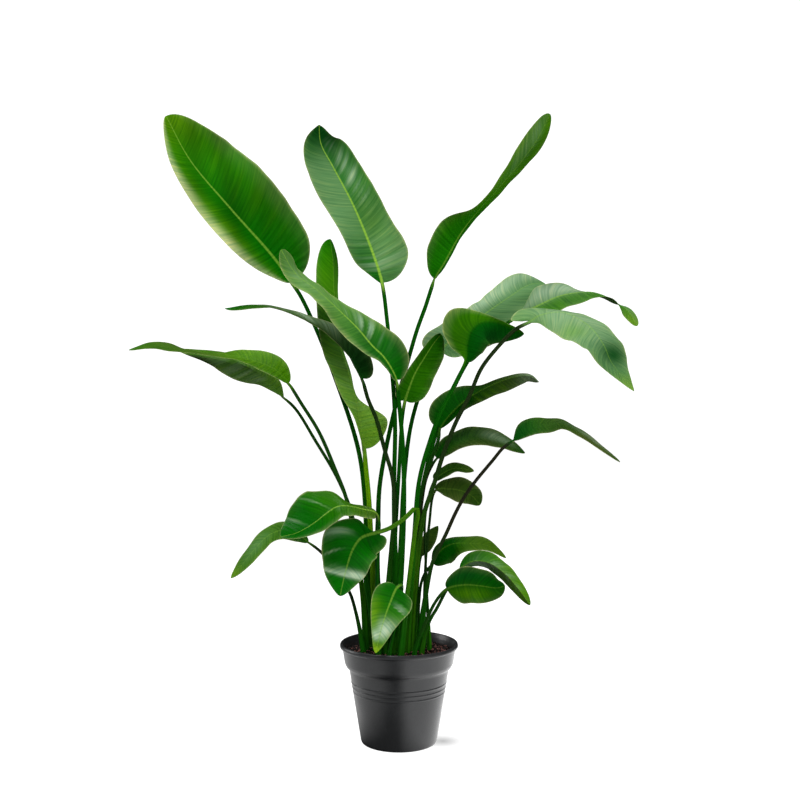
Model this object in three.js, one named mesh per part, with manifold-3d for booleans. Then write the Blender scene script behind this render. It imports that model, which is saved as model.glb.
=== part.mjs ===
// A potted bird of paradise: a grey nursery pot, its soil and the leaves that stand in it.
// Millimetres, +Z up, with the origin in the middle of the pot's underside.

import * as THREE from "three";
import { mergeVertices } from "three/addons/utils/BufferGeometryUtils.js";
import Module from "manifold-3d";

// Pot
const POT_HEIGHT = 198;
const RIM_RADIUS = 118;
const LIP_HEIGHT = 9;
const LIP_WIDTH = 4.5;
const EDGE_ROUNDING = 3;
const BAND_TOP_RADIUS = 113;
const BAND_LOW_RADIUS = 108;
const BAND_TOP = 188;
const BAND_LOW = 158;
const WALL_TOP_RADIUS = 99.5;
const WALL_TOP = 148;
const SHOULDER_STEP = [5, 3];
const FOOT_RADIUS = 76;
const FOOT_ROUNDING = 5;
const WALL_THICKNESS = 2.4;
const FLOOR_THICKNESS = 3;
const RING_HEIGHTS = [103, 112, 121];
const RING_RELIEF = 0.8;
const RING_HALF_WIDTH = 1.6;
const POT_SIDES = 40;
const DRAIN_COUNT = 6;
const DRAIN_RADIUS = 6;
const DRAIN_CIRCLE = 52;
const DRAIN_SIDES = 12;

// Soil
const SOIL_TOP = 180;
const SOIL_CLEARANCE = 0.45;
const SOIL_EDGE_DROP = 2;
const SOIL_CIRCLES = [0.3, 0.6, 0.85];
const LUMP_HEIGHT = 1.6;
const LUMPS_ACROSS = 0.11;
const LUMPS_DEEP = 0.13;
const HOLE_CLEARANCE = 0.4;
const HOLE_TOP = 192;

// Leaves
const BLADE_THICKNESS = 1;
const HALF_COLUMNS = 3;
const ROWS = [6, 12];
const ROW_BUNCHING = 0.7;
const STALK_BUNCHING = 1.3;
const LINE_SAMPLES = 40;
const TANGENT_STEP = 2;
const NECK_LENGTH = 24;
const SHEATH_SHARE = 0.484;
const SHEATH_WEIGHT = 0.75;
const STALK_FLATNESS = 0.8;
const STALK_ROUNDNESS = 0.85;
const CHANNEL_DEPTH = 0.35;
const RIB_TAPER = 0.8;
const NARROWEST_RIB = 1;
const RIB_SHOWN_ABOVE = 0.15;
const LOBE_REACH = 0.3;
const LEFT_WAVE_LAG = 2.2;
const TIP_FROM = 0.98;
const NARROWEST_TIP = 1.2;

// A leaf's line is noted the way a person standing in front sees it. Across and up are where each
// point shows against the upright plane through the pot's axis, and near is how far the point
// comes out of that plane toward the person, whose eye is here.
const EYE_DISTANCE = 2141;
const EYE_HEIGHT = 679;
const EYE_ACROSS = 2;

const TOWARD_EYE = [[0, -1, 0]];

// For each leaf: the points of its stalk from inside the soil up to the blade, then of the midrib
// out to the tip. Face is the direction that the upper side looks toward. Left and right are the
// blade's halves, seen on the upper side with the tip up, with their widths in millimetres and
// the degrees by which they rise from the face. All of these lists are spread evenly from base
// to tip. Ends holds the share of the blade that rounds off at the base, the share at the tip and
// the power of the tip's curve. Lobes is how far each half reaches back past the base. Wave is
// the height and the number of the margin's waves. Size is the stalk's half width at the soil and
// at the blade. Rows is how many rings the stalk and the blade have where they differ from ROWS.
const LEAVES = [
  {
    name: "leaf_tall_left",
    stalk: [[-58, 122, -34], [-60, 182, -34], [-64, 330, -30], [-68, 480, -28], [-82, 586, -28],
      [-132, 738, -28], [-164, 820, -30], [-198, 892, -30], [-216, 918, -28]],
    rib: [[-250, 966, -20], [-338, 1066, 0], [-418, 1162, 10], [-466, 1250, 22]],
    face: [[0.1, -1, 0.15], [0, -1, 0.2], [-0.1, -1, 0.3]],
    left: { width: [26, 55, 57, 43, 28], rise: [20, 15, 15, 25] },
    right: { width: [64, 93, 98, 82, 62], rise: [5] },
    ends: [0.16, 0.3, 0.5], lobes: [0, 14], wave: [5, 2.5], size: [9, 4],
  },
  {
    name: "leaf_tall_middle",
    stalk: [[-6, 122, 4], [-6, 182, 4], [-8, 362, -2], [-10, 504, -6], [-8, 642, -12],
      [-16, 762, -14], [-24, 842, -14], [-34, 916, -12]],
    rib: [[-54, 980, -12], [-92, 1072, -8], [-132, 1148, 2], [-156, 1194, 14], [-160, 1232, 36]],
    face: [[0.3, -1, 0.1], [0.2, -1, 0.2], [0.2, -1, 0.2], [0.1, -1, 0.3], [0, -1, 0.5]],
    left: { width: [26, 44, 50, 56, 59, 51, 32], rise: [10] },
    right: { width: [60, 71, 61, 55, 53, 46, 32], rise: [5] },
    ends: [0.16, 0.2, 0.7], lobes: [-8, 8], wave: [3, 2.5], size: [9, 4],
  },
  {
    name: "leaf_tall_right",
    stalk: [[-32, 122, -44], [-34, 182, -44], [-44, 330, -42], [-42, 438, -40], [-38, 516, -40],
      [-10, 658, -40], [10, 732, -38], [36, 822, -36], [52, 866, -34], [72, 924, -30]],
    rib: [[90, 954, -26], [134, 1030, -18], [202, 1110, -8], [242, 1156, -2], [278, 1206, 6],
      [302, 1254, 14]],
    face: TOWARD_EYE,
    left: { width: [46, 52, 54, 54, 54, 52, 50, 44, 38], rise: [40, 30, 32, 79, 86, 77, 66, 57, 50] },
    right: { width: [46, 50, 52, 50, 50, 48, 46, 44, 38],
      rise: [-85, -86, -86, -85, -82, -80, -75, -68, -60] },
    ends: [0.14, 0.2, 0.5], lobes: [0, 0], wave: [3, 2], size: [9, 4],
  },
  {
    name: "leaf_narrow",
    stalk: [[-42, 122, -22], [-44, 182, -22], [-54, 362, -20], [-60, 482, -18], [-66, 546, -18],
      [-70, 584, -16]],
    rib: [[-78, 632, -18], [-86, 682, -24], [-102, 738, -32], [-116, 782, -36], [-126, 842, -36],
      [-130, 902, -32], [-132, 958, -28], [-138, 1004, -24]],
    face: TOWARD_EYE,
    left: { width: [30, 36, 44, 50, 50, 48, 48, 46, 44], rise: [84, 80, 56, 54, 46, 44, 45, 45, 45] },
    right: { width: [50, 58, 44, 48, 48, 46, 44, 40, 36],
      rise: [0, -16, -84, -86, -86, -86, -82, -78, -75] },
    ends: [0.14, 0.16, 0.5], lobes: [0, 6], wave: [3, 3], size: [10, 4.6], rows: [6, 14],
  },
  {
    name: "leaf_diagonal",
    stalk: [[-8, 122, 26], [-8, 182, 26], [6, 362, 28], [10, 482, 30], [8, 582, 32], [0, 676, 36],
      [-6, 722, 38]],
    rib: [[-16, 744, 41], [-32, 768, 46], [-54, 790, 54], [-82, 824, 64], [-108, 850, 74],
      [-162, 900, 98], [-208, 936, 120], [-236, 982, 138]],
    face: TOWARD_EYE,
    left: { width: [30, 42, 46, 50, 50, 48, 46, 42, 34], rise: [76, 78, 66, 55, 56, 66, 67, 62, 55] },
    right: { width: [40, 56, 56, 56, 52, 50, 46, 42, 34],
      rise: [-50, -30, -36, -56, -70, -76, -75, -73, -60] },
    ends: [0.1, 0.2, 0.5], lobes: [4, 14], wave: [3, 3], size: [9, 4.2],
  },
  {
    name: "leaf_left_upper",
    stalk: [[-30, 122, 22], [-30, 182, 22], [-14, 400, 18], [-8, 462, 16], [-14, 532, 14],
      [-28, 580, 12], [-46, 646, 12], [-62, 684, 12], [-74, 724, 14]],
    rib: [[-96, 768, 26], [-148, 820, 52], [-198, 848, 62], [-244, 865, 70], [-294, 872, 84],
      [-348, 865, 100]],
    face: TOWARD_EYE,
    left: { width: [40, 48, 50, 46, 36], rise: [84, 85, 86, 86, 86, 86, 84, 70, 54] },
    right: { width: [64, 56, 50, 46, 36], rise: [-50, -62, -76, -84, -82] },
    ends: [0.16, 0.3, 0.6], lobes: [0, 28], wave: [3, 3], size: [8.5, 3.8],
  },
  {
    name: "leaf_left_lower",
    stalk: [[-64, 122, -6], [-66, 182, -6], [-70, 264, 2], [-76, 320, 5], [-104, 480, 6],
      [-128, 544, 7], [-160, 618, 9], [-196, 676, 11], [-222, 716, 13]],
    rib: [[-254, 746, 17], [-308, 764, 24], [-368, 772, 32], [-438, 782, 40], [-488, 790, 46],
      [-540, 782, 52]],
    face: TOWARD_EYE,
    left: { width: [36, 48, 48, 46, 44, 44, 36], rise: [78, 74, 82, 85, 84, 79, 75] },
    right: { width: [26, 50, 48, 46, 44, 46, 36], rise: [-48, -58, -68, -85, -84, -74, -70] },
    ends: [0.16, 0.3, 0.6], lobes: [0, 8], wave: [2, 3], size: [7.5, 3.4],
  },
  {
    name: "leaf_left_under",
    stalk: [[-44, 122, 2], [-46, 182, 2], [-57, 264, -8], [-66, 320, -13], [-96, 460, -13],
      [-112, 502, -13], [-134, 546, -14], [-168, 602, -16], [-198, 652, -18], [-212, 670, -20],
      [-232, 688, -23]],
    rib: [[-274, 730, -27], [-308, 750, -30], [-354, 770, -32], [-398, 776, -30],
      [-442, 782, -26]],
    face: TOWARD_EYE,
    left: { width: [20, 42, 44, 44, 42, 40, 32], rise: [82, 72, 48, 42, 54, 70, 70] },
    right: { width: [16, 40, 40, 40, 38, 36, 30], rise: [-60, -66, -70, -76, -78, -76, -70] },
    ends: [0.16, 0.3, 0.6], lobes: [0, 0], wave: [2, 3], size: [7.5, 3], rows: [5, 10],
  },
  {
    name: "leaf_right_round",
    stalk: [[12, 122, 24], [14, 182, 24], [30, 400, 28], [38, 504, 28], [46, 546, 28],
      [62, 600, 26], [76, 640, 24], [104, 698, 20], [116, 722, 16], [134, 760, 10]],
    rib: [[136, 792, 0], [144, 820, -14], [162, 836, -24], [192, 838, -36], [222, 828, -49],
      [250, 814, -61]],
    face: [[0, -1, 0.2]],
    left: { width: [10, 32, 54, 58, 24, 8, 6, 6, 6], rise: [10, 5, 10, 30, 40] },
    right: { width: [36, 46, 50, 46, 30], rise: [-60, -30, -14, -30, -30] },
    ends: [0.16, 0.3, 0.5], lobes: [-4, 0], wave: [3, 3], size: [8.5, 4], rows: [5, 11],
  },
  {
    name: "leaf_right_middle",
    stalk: [[6, 122, -20], [8, 182, -20], [30, 400, -18], [50, 520, -18], [64, 560, -19],
      [78, 600, -20], [84, 626, -21]],
    rib: [[110, 660, -24], [142, 688, -28], [182, 710, -36], [224, 726, -44], [262, 730, -52],
      [280, 718, -56]],
    face: [[0, -1, 0.1]],
    left: { width: [46, 48, 46, 42, 36], rise: [-5, -30, -70, -76, -70] },
    right: { width: [26, 34, 40, 40, 34], rise: [-74, -68, -60, -60, -60] },
    ends: [0.16, 0.3, 0.6], lobes: [12, 0], wave: [3, 2.5], size: [8, 3.4], rows: [5, 10],
  },
  {
    name: "leaf_right_long",
    stalk: [[18, 122, 2], [20, 182, 2], [26, 264, 2], [40, 396, 2], [50, 454, 0], [70, 514, -2],
      [88, 572, -3], [114, 638, -4], [140, 688, -4], [164, 744, -2], [196, 786, 2],
      [234, 824, 6], [262, 838, 9]],
    rib: [[280, 850, 14], [304, 857, 22], [330, 857, 32], [360, 844, 44], [388, 822, 58],
      [410, 790, 72], [424, 758, 82], [470, 700, 102]],
    face: TOWARD_EYE,
    left: { width: [56, 58, 60, 62, 60, 54, 40], rise: [-30, -80, -70, -54, -44, -56, -64] },
    right: { width: [16, 56, 64, 66, 62, 52, 40], rise: [64, 50, 34, 34, 48, 60, 60] },
    ends: [0.14, 0.3, 0.7], lobes: [78, 0], wave: [3, 2.5], size: [10, 3.8],
  },
  {
    name: "leaf_right_back",
    stalk: [[-8, 122, -42], [-6, 182, -42], [4, 400, -48], [10, 520, -54], [22, 622, -64],
      [40, 690, -76], [60, 738, -90], [84, 780, -106]],
    rib: [[126, 820, -132], [172, 854, -162], [218, 886, -196], [260, 912, -230],
      [290, 916, -262]],
    face: [[0, -1, 0.1]],
    left: { width: [62, 54, 50, 60, 66], rise: [-25, -40, -44, -44, -40] },
    right: { width: [60, 60, 58, 52, 42], rise: [35, 35, 40, 45] },
    ends: [0.14, 0.26, 0.5], lobes: [44, 26], wave: [4, 2.5], size: [9, 4], rows: [5, 10],
  },
  {
    name: "leaf_right_tip",
    stalk: [[16, 122, -42], [18, 182, -42], [34, 400, -48], [54, 540, -58], [98, 680, -74],
      [160, 790, -80], [236, 848, -86]],
    rib: [[280, 871, -88], [320, 889, -86], [352, 896, -80], [384, 898, -74], [412, 890, -68],
      [436, 876, -64], [458, 860, -60], [476, 830, -56]],
    face: [[0, -1, 0.1]],
    left: { width: [8, 26, 52, 54, 48, 40, 30, 32, 30],
      rise: [-10, -15, -38, -52, -76, -84, -84, -62, -50] },
    right: { width: [40, 48, 50, 50, 48, 42, 32, 32, 30],
      rise: [60, 55, 50, 50, 52, 62, 80, 50, 50] },
    ends: [0.14, 0.14, 0.5], lobes: [-16, 0], wave: [2, 2.5], size: [9, 3.8],
  },
  {
    name: "leaf_middle",
    stalk: [[-16, 122, -18], [-16, 182, -18], [-8, 400, -16], [0, 540, -14], [6, 640, -12],
      [12, 680, -12]],
    rib: [[18, 700, -12], [32, 736, -12], [50, 766, -14], [68, 794, -18], [84, 814, -24]],
    face: [[0, -1, 0.1]],
    left: { width: [34, 24, 20, 18, 16], rise: [30, 45, 50, 50] },
    right: { width: [30, 42, 40, 36, 28], rise: [-20] },
    ends: [0.16, 0.3, 0.5], lobes: [8, 8], wave: [4, 3], size: [8, 3.6], rows: [5, 10],
  },
  {
    name: "leaf_right_arched",
    stalk: [[28, 122, -20], [30, 182, -20], [38, 380, -26], [46, 480, -32], [56, 530, -35],
      [76, 566, -38]],
    rib: [[112, 596, -42], [152, 607, -48], [198, 601, -56], [252, 576, -64]],
    face: TOWARD_EYE,
    left: { width: [30, 38, 40, 38, 30], rise: [-58] },
    right: { width: [26, 34, 36, 34, 28], rise: [66] },
    ends: [0.2, 0.5, 0.6], lobes: [4, 4], wave: [2, 2.5], size: [7.5, 3.2], rows: [4, 8],
  },
  {
    name: "leaf_far_right",
    stalk: [[38, 122, 2], [40, 182, 4], [46, 240, 6], [58, 318, 8], [68, 360, 10], [94, 414, 12],
      [112, 454, 14], [128, 484, 16], [150, 516, 18], [188, 562, 20], [208, 586, 20],
      [230, 602, 20]],
    rib: [[254, 622, 22], [288, 633, 26], [324, 636, 32], [362, 618, 40], [398, 592, 48],
      [442, 558, 56]],
    face: TOWARD_EYE,
    left: { width: [16, 36, 36, 34, 34, 32, 26], rise: [-56, -60, -76, -78, -76, -76, -70] },
    right: { width: [16, 32, 38, 36, 34, 32, 26], rise: [64, 66, 64, 72, 72, 74, 70] },
    ends: [0.16, 0.4, 0.6], lobes: [0, 0], wave: [2, 3], size: [8, 3.2], rows: [6, 10],
  },
  {
    name: "leaf_small_upper",
    stalk: [[61, 122, -4], [61, 182, -4], [57, 270, -7], [54, 340, -7], [52, 440, -10],
      [62, 500, -15], [72, 522, -19]],
    rib: [[90, 536, -19], [112, 545, -19], [150, 540, -19]],
    face: [[-0.2, -0.6, 0.8]],
    left: { width: [16], rise: [10] },
    right: { width: [16], rise: [10] },
    ends: [0.2, 0.5, 0.65], lobes: [2, 2], wave: [1, 2], size: [6, 2.4], rows: [5, 8],
  },
  {
    name: "leaf_small_lower",
    stalk: [[50, 122, -16], [50, 182, -16], [52, 330, -18], [60, 430, -20], [74, 502, -22]],
    rib: [[100, 504, -22], [126, 500, -20], [146, 490, -16], [162, 472, -12]],
    face: [[0, -1, 0.3]],
    left: { width: [10, 24, 28, 26, 20], rise: [-10] },
    right: { width: [8, 18, 26, 24, 16], rise: [10] },
    ends: [0.2, 0.4, 0.5], lobes: [2, 2], wave: [3, 2], size: [6, 2.6], rows: [4, 8],
  },
  {
    name: "leaf_low_right_back",
    stalk: [[38, 122, -40], [38, 182, -40], [40, 280, -38], [46, 322, -34], [56, 342, -32],
      [68, 356, -30]],
    rib: [[82, 380, -28], [106, 394, -24], [142, 395, -18], [178, 390, -14], [214, 366, -8]],
    face: TOWARD_EYE,
    left: { width: [20, 26, 28, 28, 26, 24, 18], rise: [-60, -66, -70, -66, -60, -66, -60] },
    right: { width: [26, 34, 34, 30, 28, 26, 20], rise: [40, 22, 30, 62, 72, 74, 70] },
    ends: [0.16, 0.4, 0.6], lobes: [0, 6], wave: [2, 2.5], size: [7, 2.8], rows: [5, 9],
  },
  {
    name: "leaf_low_right_long",
    stalk: [[46, 122, 24], [46, 182, 24], [60, 238, 25], [76, 266, 26], [96, 304, 29],
      [122, 344, 34]],
    rib: [[148, 359, 40], [178, 357, 48], [208, 338, 58], [236, 308, 70], [262, 272, 82]],
    face: TOWARD_EYE,
    left: { width: [18, 34, 34, 32, 28], rise: [-58, -62, -64, -60] },
    right: { width: [18, 34, 34, 32, 28], rise: [-58, -62, -64, -62] },
    ends: [0.16, 0.4, 0.6], lobes: [0, 0], wave: [2, 2.5], size: [7, 3], rows: [4, 9],
  },
  {
    name: "leaf_low_right_round",
    stalk: [[30, 122, 44], [32, 182, 44], [50, 230, 48], [74, 280, 54], [96, 304, 60]],
    rib: [[130, 312, 68], [164, 310, 76], [196, 306, 82], [212, 310, 86]],
    face: [[0, -1, 0.3]],
    left: { width: [26, 36, 36, 30, 22], rise: [-10] },
    right: { width: [26, 36, 36, 32, 24], rise: [10] },
    ends: [0.3, 0.4, 0.5], lobes: [6, 4], wave: [3, 2.5], size: [7, 3], rows: [4, 8],
  },
  {
    name: "leaf_small_back",
    stalk: [[32, 122, -64], [32, 182, -64], [36, 290, -62], [44, 370, -59]],
    rib: [[54, 392, -58], [64, 410, -56], [78, 430, -54]],
    face: TOWARD_EYE,
    left: { width: [8, 14, 14, 10], rise: [10] },
    right: { width: [8, 14, 14, 10], rise: [10] },
    ends: [0.3, 0.5, 0.6], lobes: [0, 0], wave: [1, 2], size: [6, 2.6], rows: [4, 7],
  },
  {
    name: "leaf_low_left_upper",
    stalk: [[-42, 122, 38], [-42, 182, 38], [-44, 300, 42], [-42, 400, 46], [-40, 438, 52],
      [-46, 456, 62]],
    rib: [[-74, 464, 74], [-102, 470, 84], [-124, 468, 93], [-146, 454, 102], [-172, 434, 112],
      [-204, 416, 124], [-236, 408, 136]],
    face: TOWARD_EYE,
    left: { width: [30, 34, 38, 40, 42, 42, 38, 32, 26], rise: [66, 70, 72, 64, 60, 60, 66, 74, 75] },
    right: { width: [14, 16, 20, 43, 58, 60, 53, 45, 36],
      rise: [-64, -72, -78, -48, -24, -14, -20, -36, -50] },
    ends: [0.12, 0.24, 0.5], lobes: [0, 0], wave: [2, 2], size: [8, 3.4], rows: [5, 13],
  },
  {
    name: "leaf_low_left_far",
    stalk: [[-70, 122, 18], [-72, 182, 18], [-88, 264, 20], [-100, 300, 24], [-126, 338, 28],
      [-154, 376, 30], [-182, 398, 32]],
    rib: [[-206, 414, 36], [-234, 421, 42], [-262, 410, 50], [-290, 381, 58], [-312, 354, 64],
      [-336, 326, 70]],
    face: TOWARD_EYE,
    left: { width: [16, 28, 30, 30, 26], rise: [62, 62, 60, 60] },
    right: { width: [16, 28, 32, 30, 26], rise: [-60, -62, -62, -62] },
    ends: [0.16, 0.4, 0.6], lobes: [0, 0], wave: [2, 2.5], size: [7, 2.8], rows: [5, 9],
  },
  {
    name: "leaf_low_left_front",
    stalk: [[2, 122, 48], [4, 182, 48], [20, 320, 50], [32, 420, 52], [38, 454, 54],
      [34, 466, 58], [12, 446, 64], [-18, 426, 68], [-44, 417, 71]],
    rib: [[-60, 413, 74], [-76, 406, 78], [-92, 384, 88], [-106, 342, 104], [-118, 290, 120]],
    face: TOWARD_EYE,
    left: { width: [22, 42, 48, 44, 40, 29, 18], rise: [10] },
    right: { width: [2, 38, 64, 58, 47, 35, 20], rise: [10] },
    ends: [0.1, 0.3, 0.5], lobes: [34, -14], wave: [2, 2], size: [8, 4.2], rows: [8, 10],
  },
  {
    name: "leaf_low_front",
    stalk: [[-20, 122, 48], [-18, 182, 48], [-2, 250, 50], [6, 296, 56], [6, 312, 68],
      [-4, 307, 80]],
    rib: [[-18, 276, 94], [-32, 236, 110], [-47, 176, 126]],
    face: TOWARD_EYE,
    left: { width: [34, 42, 30, 18, 10], rise: [10] },
    right: { width: [34, 38, 28, 16, 10], rise: [10] },
    ends: [0.16, 0.3, 0.6], lobes: [3, 3], wave: [2, 2], size: [7, 3], rows: [4, 8],
  },
];

const COLOURS = {
  pot: "#3f4143",
  soil: "#2c2019",
  leaf: "#2f7a1f",
};

const wasm = await Module();
wasm.setup();

// Blends
function smooth(x) {
  const s = Math.min(Math.max(x, 0), 1);
  return s * s * (3 - 2 * s);
}

function mix(a, b, share) {
  return a + (b - a) * share;
}

// The value at t of a smooth line through a list of values spread evenly from 0 to 1.
function spread(values, t) {
  const last = values.length - 1;
  if (last === 0) {
    return values[0];
  }
  const x = Math.min(Math.max(t, 0), 1) * last;
  const i = Math.min(Math.floor(x), last - 1);
  const u = x - i;
  const b = values[i];
  const c = values[i + 1];
  const a = i > 0 ? values[i - 1] : 2 * b - c;
  const d = i + 2 <= last ? values[i + 2] : 2 * c - b;
  return 0.5 * (2 * b + (c - a) * u + (2 * a - 5 * b + 4 * c - d) * u * u
    + (3 * b - a - 3 * c + d) * u * u * u);
}

function place([across, up, near]) {
  const share = 1 - near / EYE_DISTANCE;
  return new THREE.Vector3(
    EYE_ACROSS + (across - EYE_ACROSS) * share,
    -near,
    EYE_HEIGHT + (up - EYE_HEIGHT) * share,
  );
}

// Solids from closed meshes
function toSolid(geometry) {
  const bare = geometry.clone();
  bare.deleteAttribute("normal");
  bare.deleteAttribute("uv");
  const merged = mergeVertices(bare, 1e-4);
  const corners = merged.index.array;
  const kept = [];
  for (let i = 0; i < corners.length; i += 3) {
    const [a, b, c] = [corners[i], corners[i + 1], corners[i + 2]];
    if (a !== b && b !== c && c !== a) {
      kept.push(a, b, c);
    }
  }
  return new wasm.Manifold(new wasm.Mesh({
    numProp: 3,
    vertProperties: new Float32Array(merged.attributes.position.array),
    triVerts: new Uint32Array(kept),
  }));
}

function toGeometry(solid) {
  const mesh = solid.getMesh();
  const geometry = new THREE.BufferGeometry();
  geometry.setAttribute("position", new THREE.BufferAttribute(mesh.vertProperties, 3));
  geometry.setIndex(new THREE.BufferAttribute(mesh.triVerts, 1));
  return geometry;
}

// A turned solid about Z from [radius, height] pairs that start and end on the axis.
function turned(profile, sides) {
  const points = profile.map(([radius, height]) => new THREE.Vector2(radius, height));
  const geometry = new THREE.LatheGeometry(points, sides);
  geometry.rotateX(Math.PI / 2);
  return geometry;
}

// The part of a vector that stands square to a direction, at length 1.
function square(vector, direction) {
  return vector.clone().addScaledVector(direction, -vector.dot(direction)).normalize();
}

// The middle line of a leaf as many short steps, with the lengths along it.
function centreLine(leaf) {
  const points = [...leaf.stalk, ...leaf.rib].map(place);
  const curve = new THREE.CatmullRomCurve3(points);
  const places = curve.getPoints(LINE_SAMPLES * (points.length - 1));
  const lengths = [0];
  for (let i = 1; i < places.length; i += 1) {
    lengths.push(lengths[i - 1] + places[i].distanceTo(places[i - 1]));
  }
  const base = lengths[LINE_SAMPLES * (leaf.stalk.length - 1)];
  return { places, lengths, base, end: lengths[lengths.length - 1] };
}

function pointAt(line, length) {
  let i = 1;
  while (i < line.lengths.length - 1 && line.lengths[i] < length) {
    i += 1;
  }
  const step = line.lengths[i] - line.lengths[i - 1];
  const share = Math.min(Math.max((length - line.lengths[i - 1]) / step, 0), 1);
  return line.places[i - 1].clone().lerp(line.places[i], share);
}

function spreadVector(vectors, t) {
  return new THREE.Vector3(...[0, 1, 2].map((k) => spread(vectors.map((v) => v[k]), t)));
}

// The rows of a leaf: where they lie along its line, closer together toward the blade and at both
// ends of the blade, which way the line runs there and which way the upper side looks. Down the
// stalk the upper side's direction is carried on without turning about the line.
function leafRows(leaf) {
  const line = centreLine(leaf);
  const [stalkRows, bladeRows] = leaf.rows ?? ROWS;
  const rows = [];
  for (let i = 0; i < stalkRows; i += 1) {
    rows.push({ t: 0, length: line.base * (1 - (1 - i / stalkRows) ** STALK_BUNCHING) });
  }
  for (let i = 0; i <= bladeRows; i += 1) {
    const r = i / bladeRows;
    const t = r - ROW_BUNCHING * Math.sin(2 * Math.PI * r) / (2 * Math.PI);
    rows.push({ t, length: mix(line.base, line.end, t) });
  }
  for (const row of rows) {
    row.centre = pointAt(line, row.length);
    const ahead = pointAt(line, Math.min(row.length + TANGENT_STEP, line.end));
    const behind = pointAt(line, Math.max(row.length - TANGENT_STEP, 0));
    row.direction = ahead.sub(behind).normalize();
    row.face = square(spreadVector(leaf.face, row.t), row.direction);
    row.fromBase = row.length - line.base;
    row.share = Math.min(row.length / line.base, 1);
  }
  for (let i = stalkRows - 1; i >= 0; i -= 1) {
    rows[i].face = square(rows[i + 1].face, rows[i].direction);
  }
  return rows;
}

// How much of a half's width is there at t, rounded off at the base and the tip.
function roundedEnds([baseShare, tipShare, power], t) {
  const low = Math.max(1 - t / baseShare, 0);
  const high = Math.max((t - 1 + tipShare) / tipShare, 0);
  return Math.sqrt(1 - low * low) * (1 - high * high) ** power;
}

// Half width of the stalk: a sheath at the soil that narrows to the neck, and past the neck the
// midrib that fades toward the tip.
function stalkHalfWidth(leaf, row) {
  const [foot, neck] = leaf.size;
  if (row.t > 0) {
    return neck * (1 - SHEATH_WEIGHT * row.t);
  }
  const sheath = 1 - smooth(row.share / SHEATH_SHARE);
  return neck + (foot - neck) * mix(1 - row.share, sheath, SHEATH_WEIGHT);
}

// One ring of a leaf: the upper face from left to right, then the lower face back again. Extra
// makes the ring larger all round, for the hole that the stalk stands in.
function leafRing(leaf, row, extra) {
  const { centre, direction, face } = row;
  const side = new THREE.Vector3().crossVectors(direction, face);
  const stalk = stalkHalfWidth(leaf, row);
  const bladeShare = smooth((row.fromBase + NECK_LENGTH) / NECK_LENGTH);
  const rib = Math.max(leaf.size[1] * (1 - RIB_TAPER * row.t), NARROWEST_RIB);
  const rounding = row.t > 0 ? roundedEnds(leaf.ends, row.t) : 0;
  const lean = (spread(leaf.left.rise, row.t) - spread(leaf.right.rise, row.t)) / 2 * bladeShare;
  const upper = [];
  const lower = [];
  for (let column = -HALF_COLUMNS; column <= HALF_COLUMNS; column += 1) {
    const sign = column < 0 ? -1 : 1;
    const half = column < 0 ? leaf.left : leaf.right;
    const lobe = column < 0 ? leaf.lobes[0] : leaf.lobes[1];
    const full = spread(half.width, row.t) * rounding;
    let width = Math.hypot(stalk, full);
    if (row.t > TIP_FROM) {
      width = Math.max(full, NARROWEST_TIP);
    }
    const inner = Math.min(rib, width / HALF_COLUMNS);
    const steps = Math.abs(column);
    const out = steps === 0 ? 0 : mix(inner, width, (steps - 1) / (HALF_COLUMNS - 1));
    const u = out / width;
    const rise = THREE.MathUtils.degToRad(spread(half.rise, row.t)) * bladeShare;
    const tilt = steps === 0 ? -sign * THREE.MathUtils.degToRad(lean) : rise;
    const swing = 2 * Math.PI * leaf.wave[1] * row.t + (sign < 0 ? LEFT_WAVE_LAG : 0);
    const wave = leaf.wave[0] * Math.sin(swing) * u * u * Math.sqrt(Math.sin(Math.PI * row.t));
    const back = lobe * rounding * u * u * Math.max(1 - row.t / LOBE_REACH, 0) ** 2;
    const reach = out + extra * u;
    const middle = centre.clone()
      .addScaledVector(side, sign * reach * Math.cos(rise))
      .addScaledVector(face, reach * Math.sin(rise) + (rounding > 0 ? wave : 0))
      .addScaledVector(direction, -back);
    const normal = face.clone().multiplyScalar(Math.cos(tilt))
      .addScaledVector(side, -sign * Math.sin(tilt));
    const round = STALK_FLATNESS * stalk * Math.sqrt(1 - STALK_ROUNDNESS * u * u);
    const channel = CHANNEL_DEPTH * STALK_FLATNESS * stalk * Math.max(1 - 4 * u * u, 0);
    const bulge = STALK_FLATNESS * rib * Math.max(1 - (out / rib) ** 2, 0);
    const above = mix(
      round - channel, BLADE_THICKNESS / 2 + RIB_SHOWN_ABOVE * bulge, bladeShare);
    const below = mix(round, BLADE_THICKNESS / 2 + bulge, bladeShare);
    upper.push(middle.clone().addScaledVector(normal, above + extra));
    lower.push(middle.clone().addScaledVector(normal, -below - extra));
  }
  return [...upper, ...lower.reverse()];
}

// A closed skin over a list of rings. The upper and the lower face are cut into triangles along
// the same diagonals, so that a waved blade keeps its thickness everywhere.
function skin(rings) {
  const around = rings[0].length;
  const half = around / 2;
  const positions = rings.flat().flatMap((point) => [point.x, point.y, point.z]);
  const index = [];
  for (let row = 0; row < rings.length - 1; row += 1) {
    for (let k = 0; k < around; k += 1) {
      const a = row * around + k;
      const b = row * around + (k + 1) % around;
      const [c, d] = [a + around, b + around];
      if (k < half) {
        index.push(a, b, d, a, d, c);
      } else {
        index.push(a, b, c, b, d, c);
      }
    }
  }
  const last = (rings.length - 1) * around;
  for (let k = 0; k < half - 1; k += 1) {
    const [a, b, c, d] = [k, k + 1, around - 1 - k, around - 2 - k];
    index.push(a, d, b, a, c, d);
    index.push(last + a, last + b, last + d, last + a, last + d, last + c);
  }
  const geometry = new THREE.BufferGeometry();
  geometry.setAttribute("position", new THREE.Float32BufferAttribute(positions, 3));
  geometry.setIndex(index);
  return geometry;
}

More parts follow.
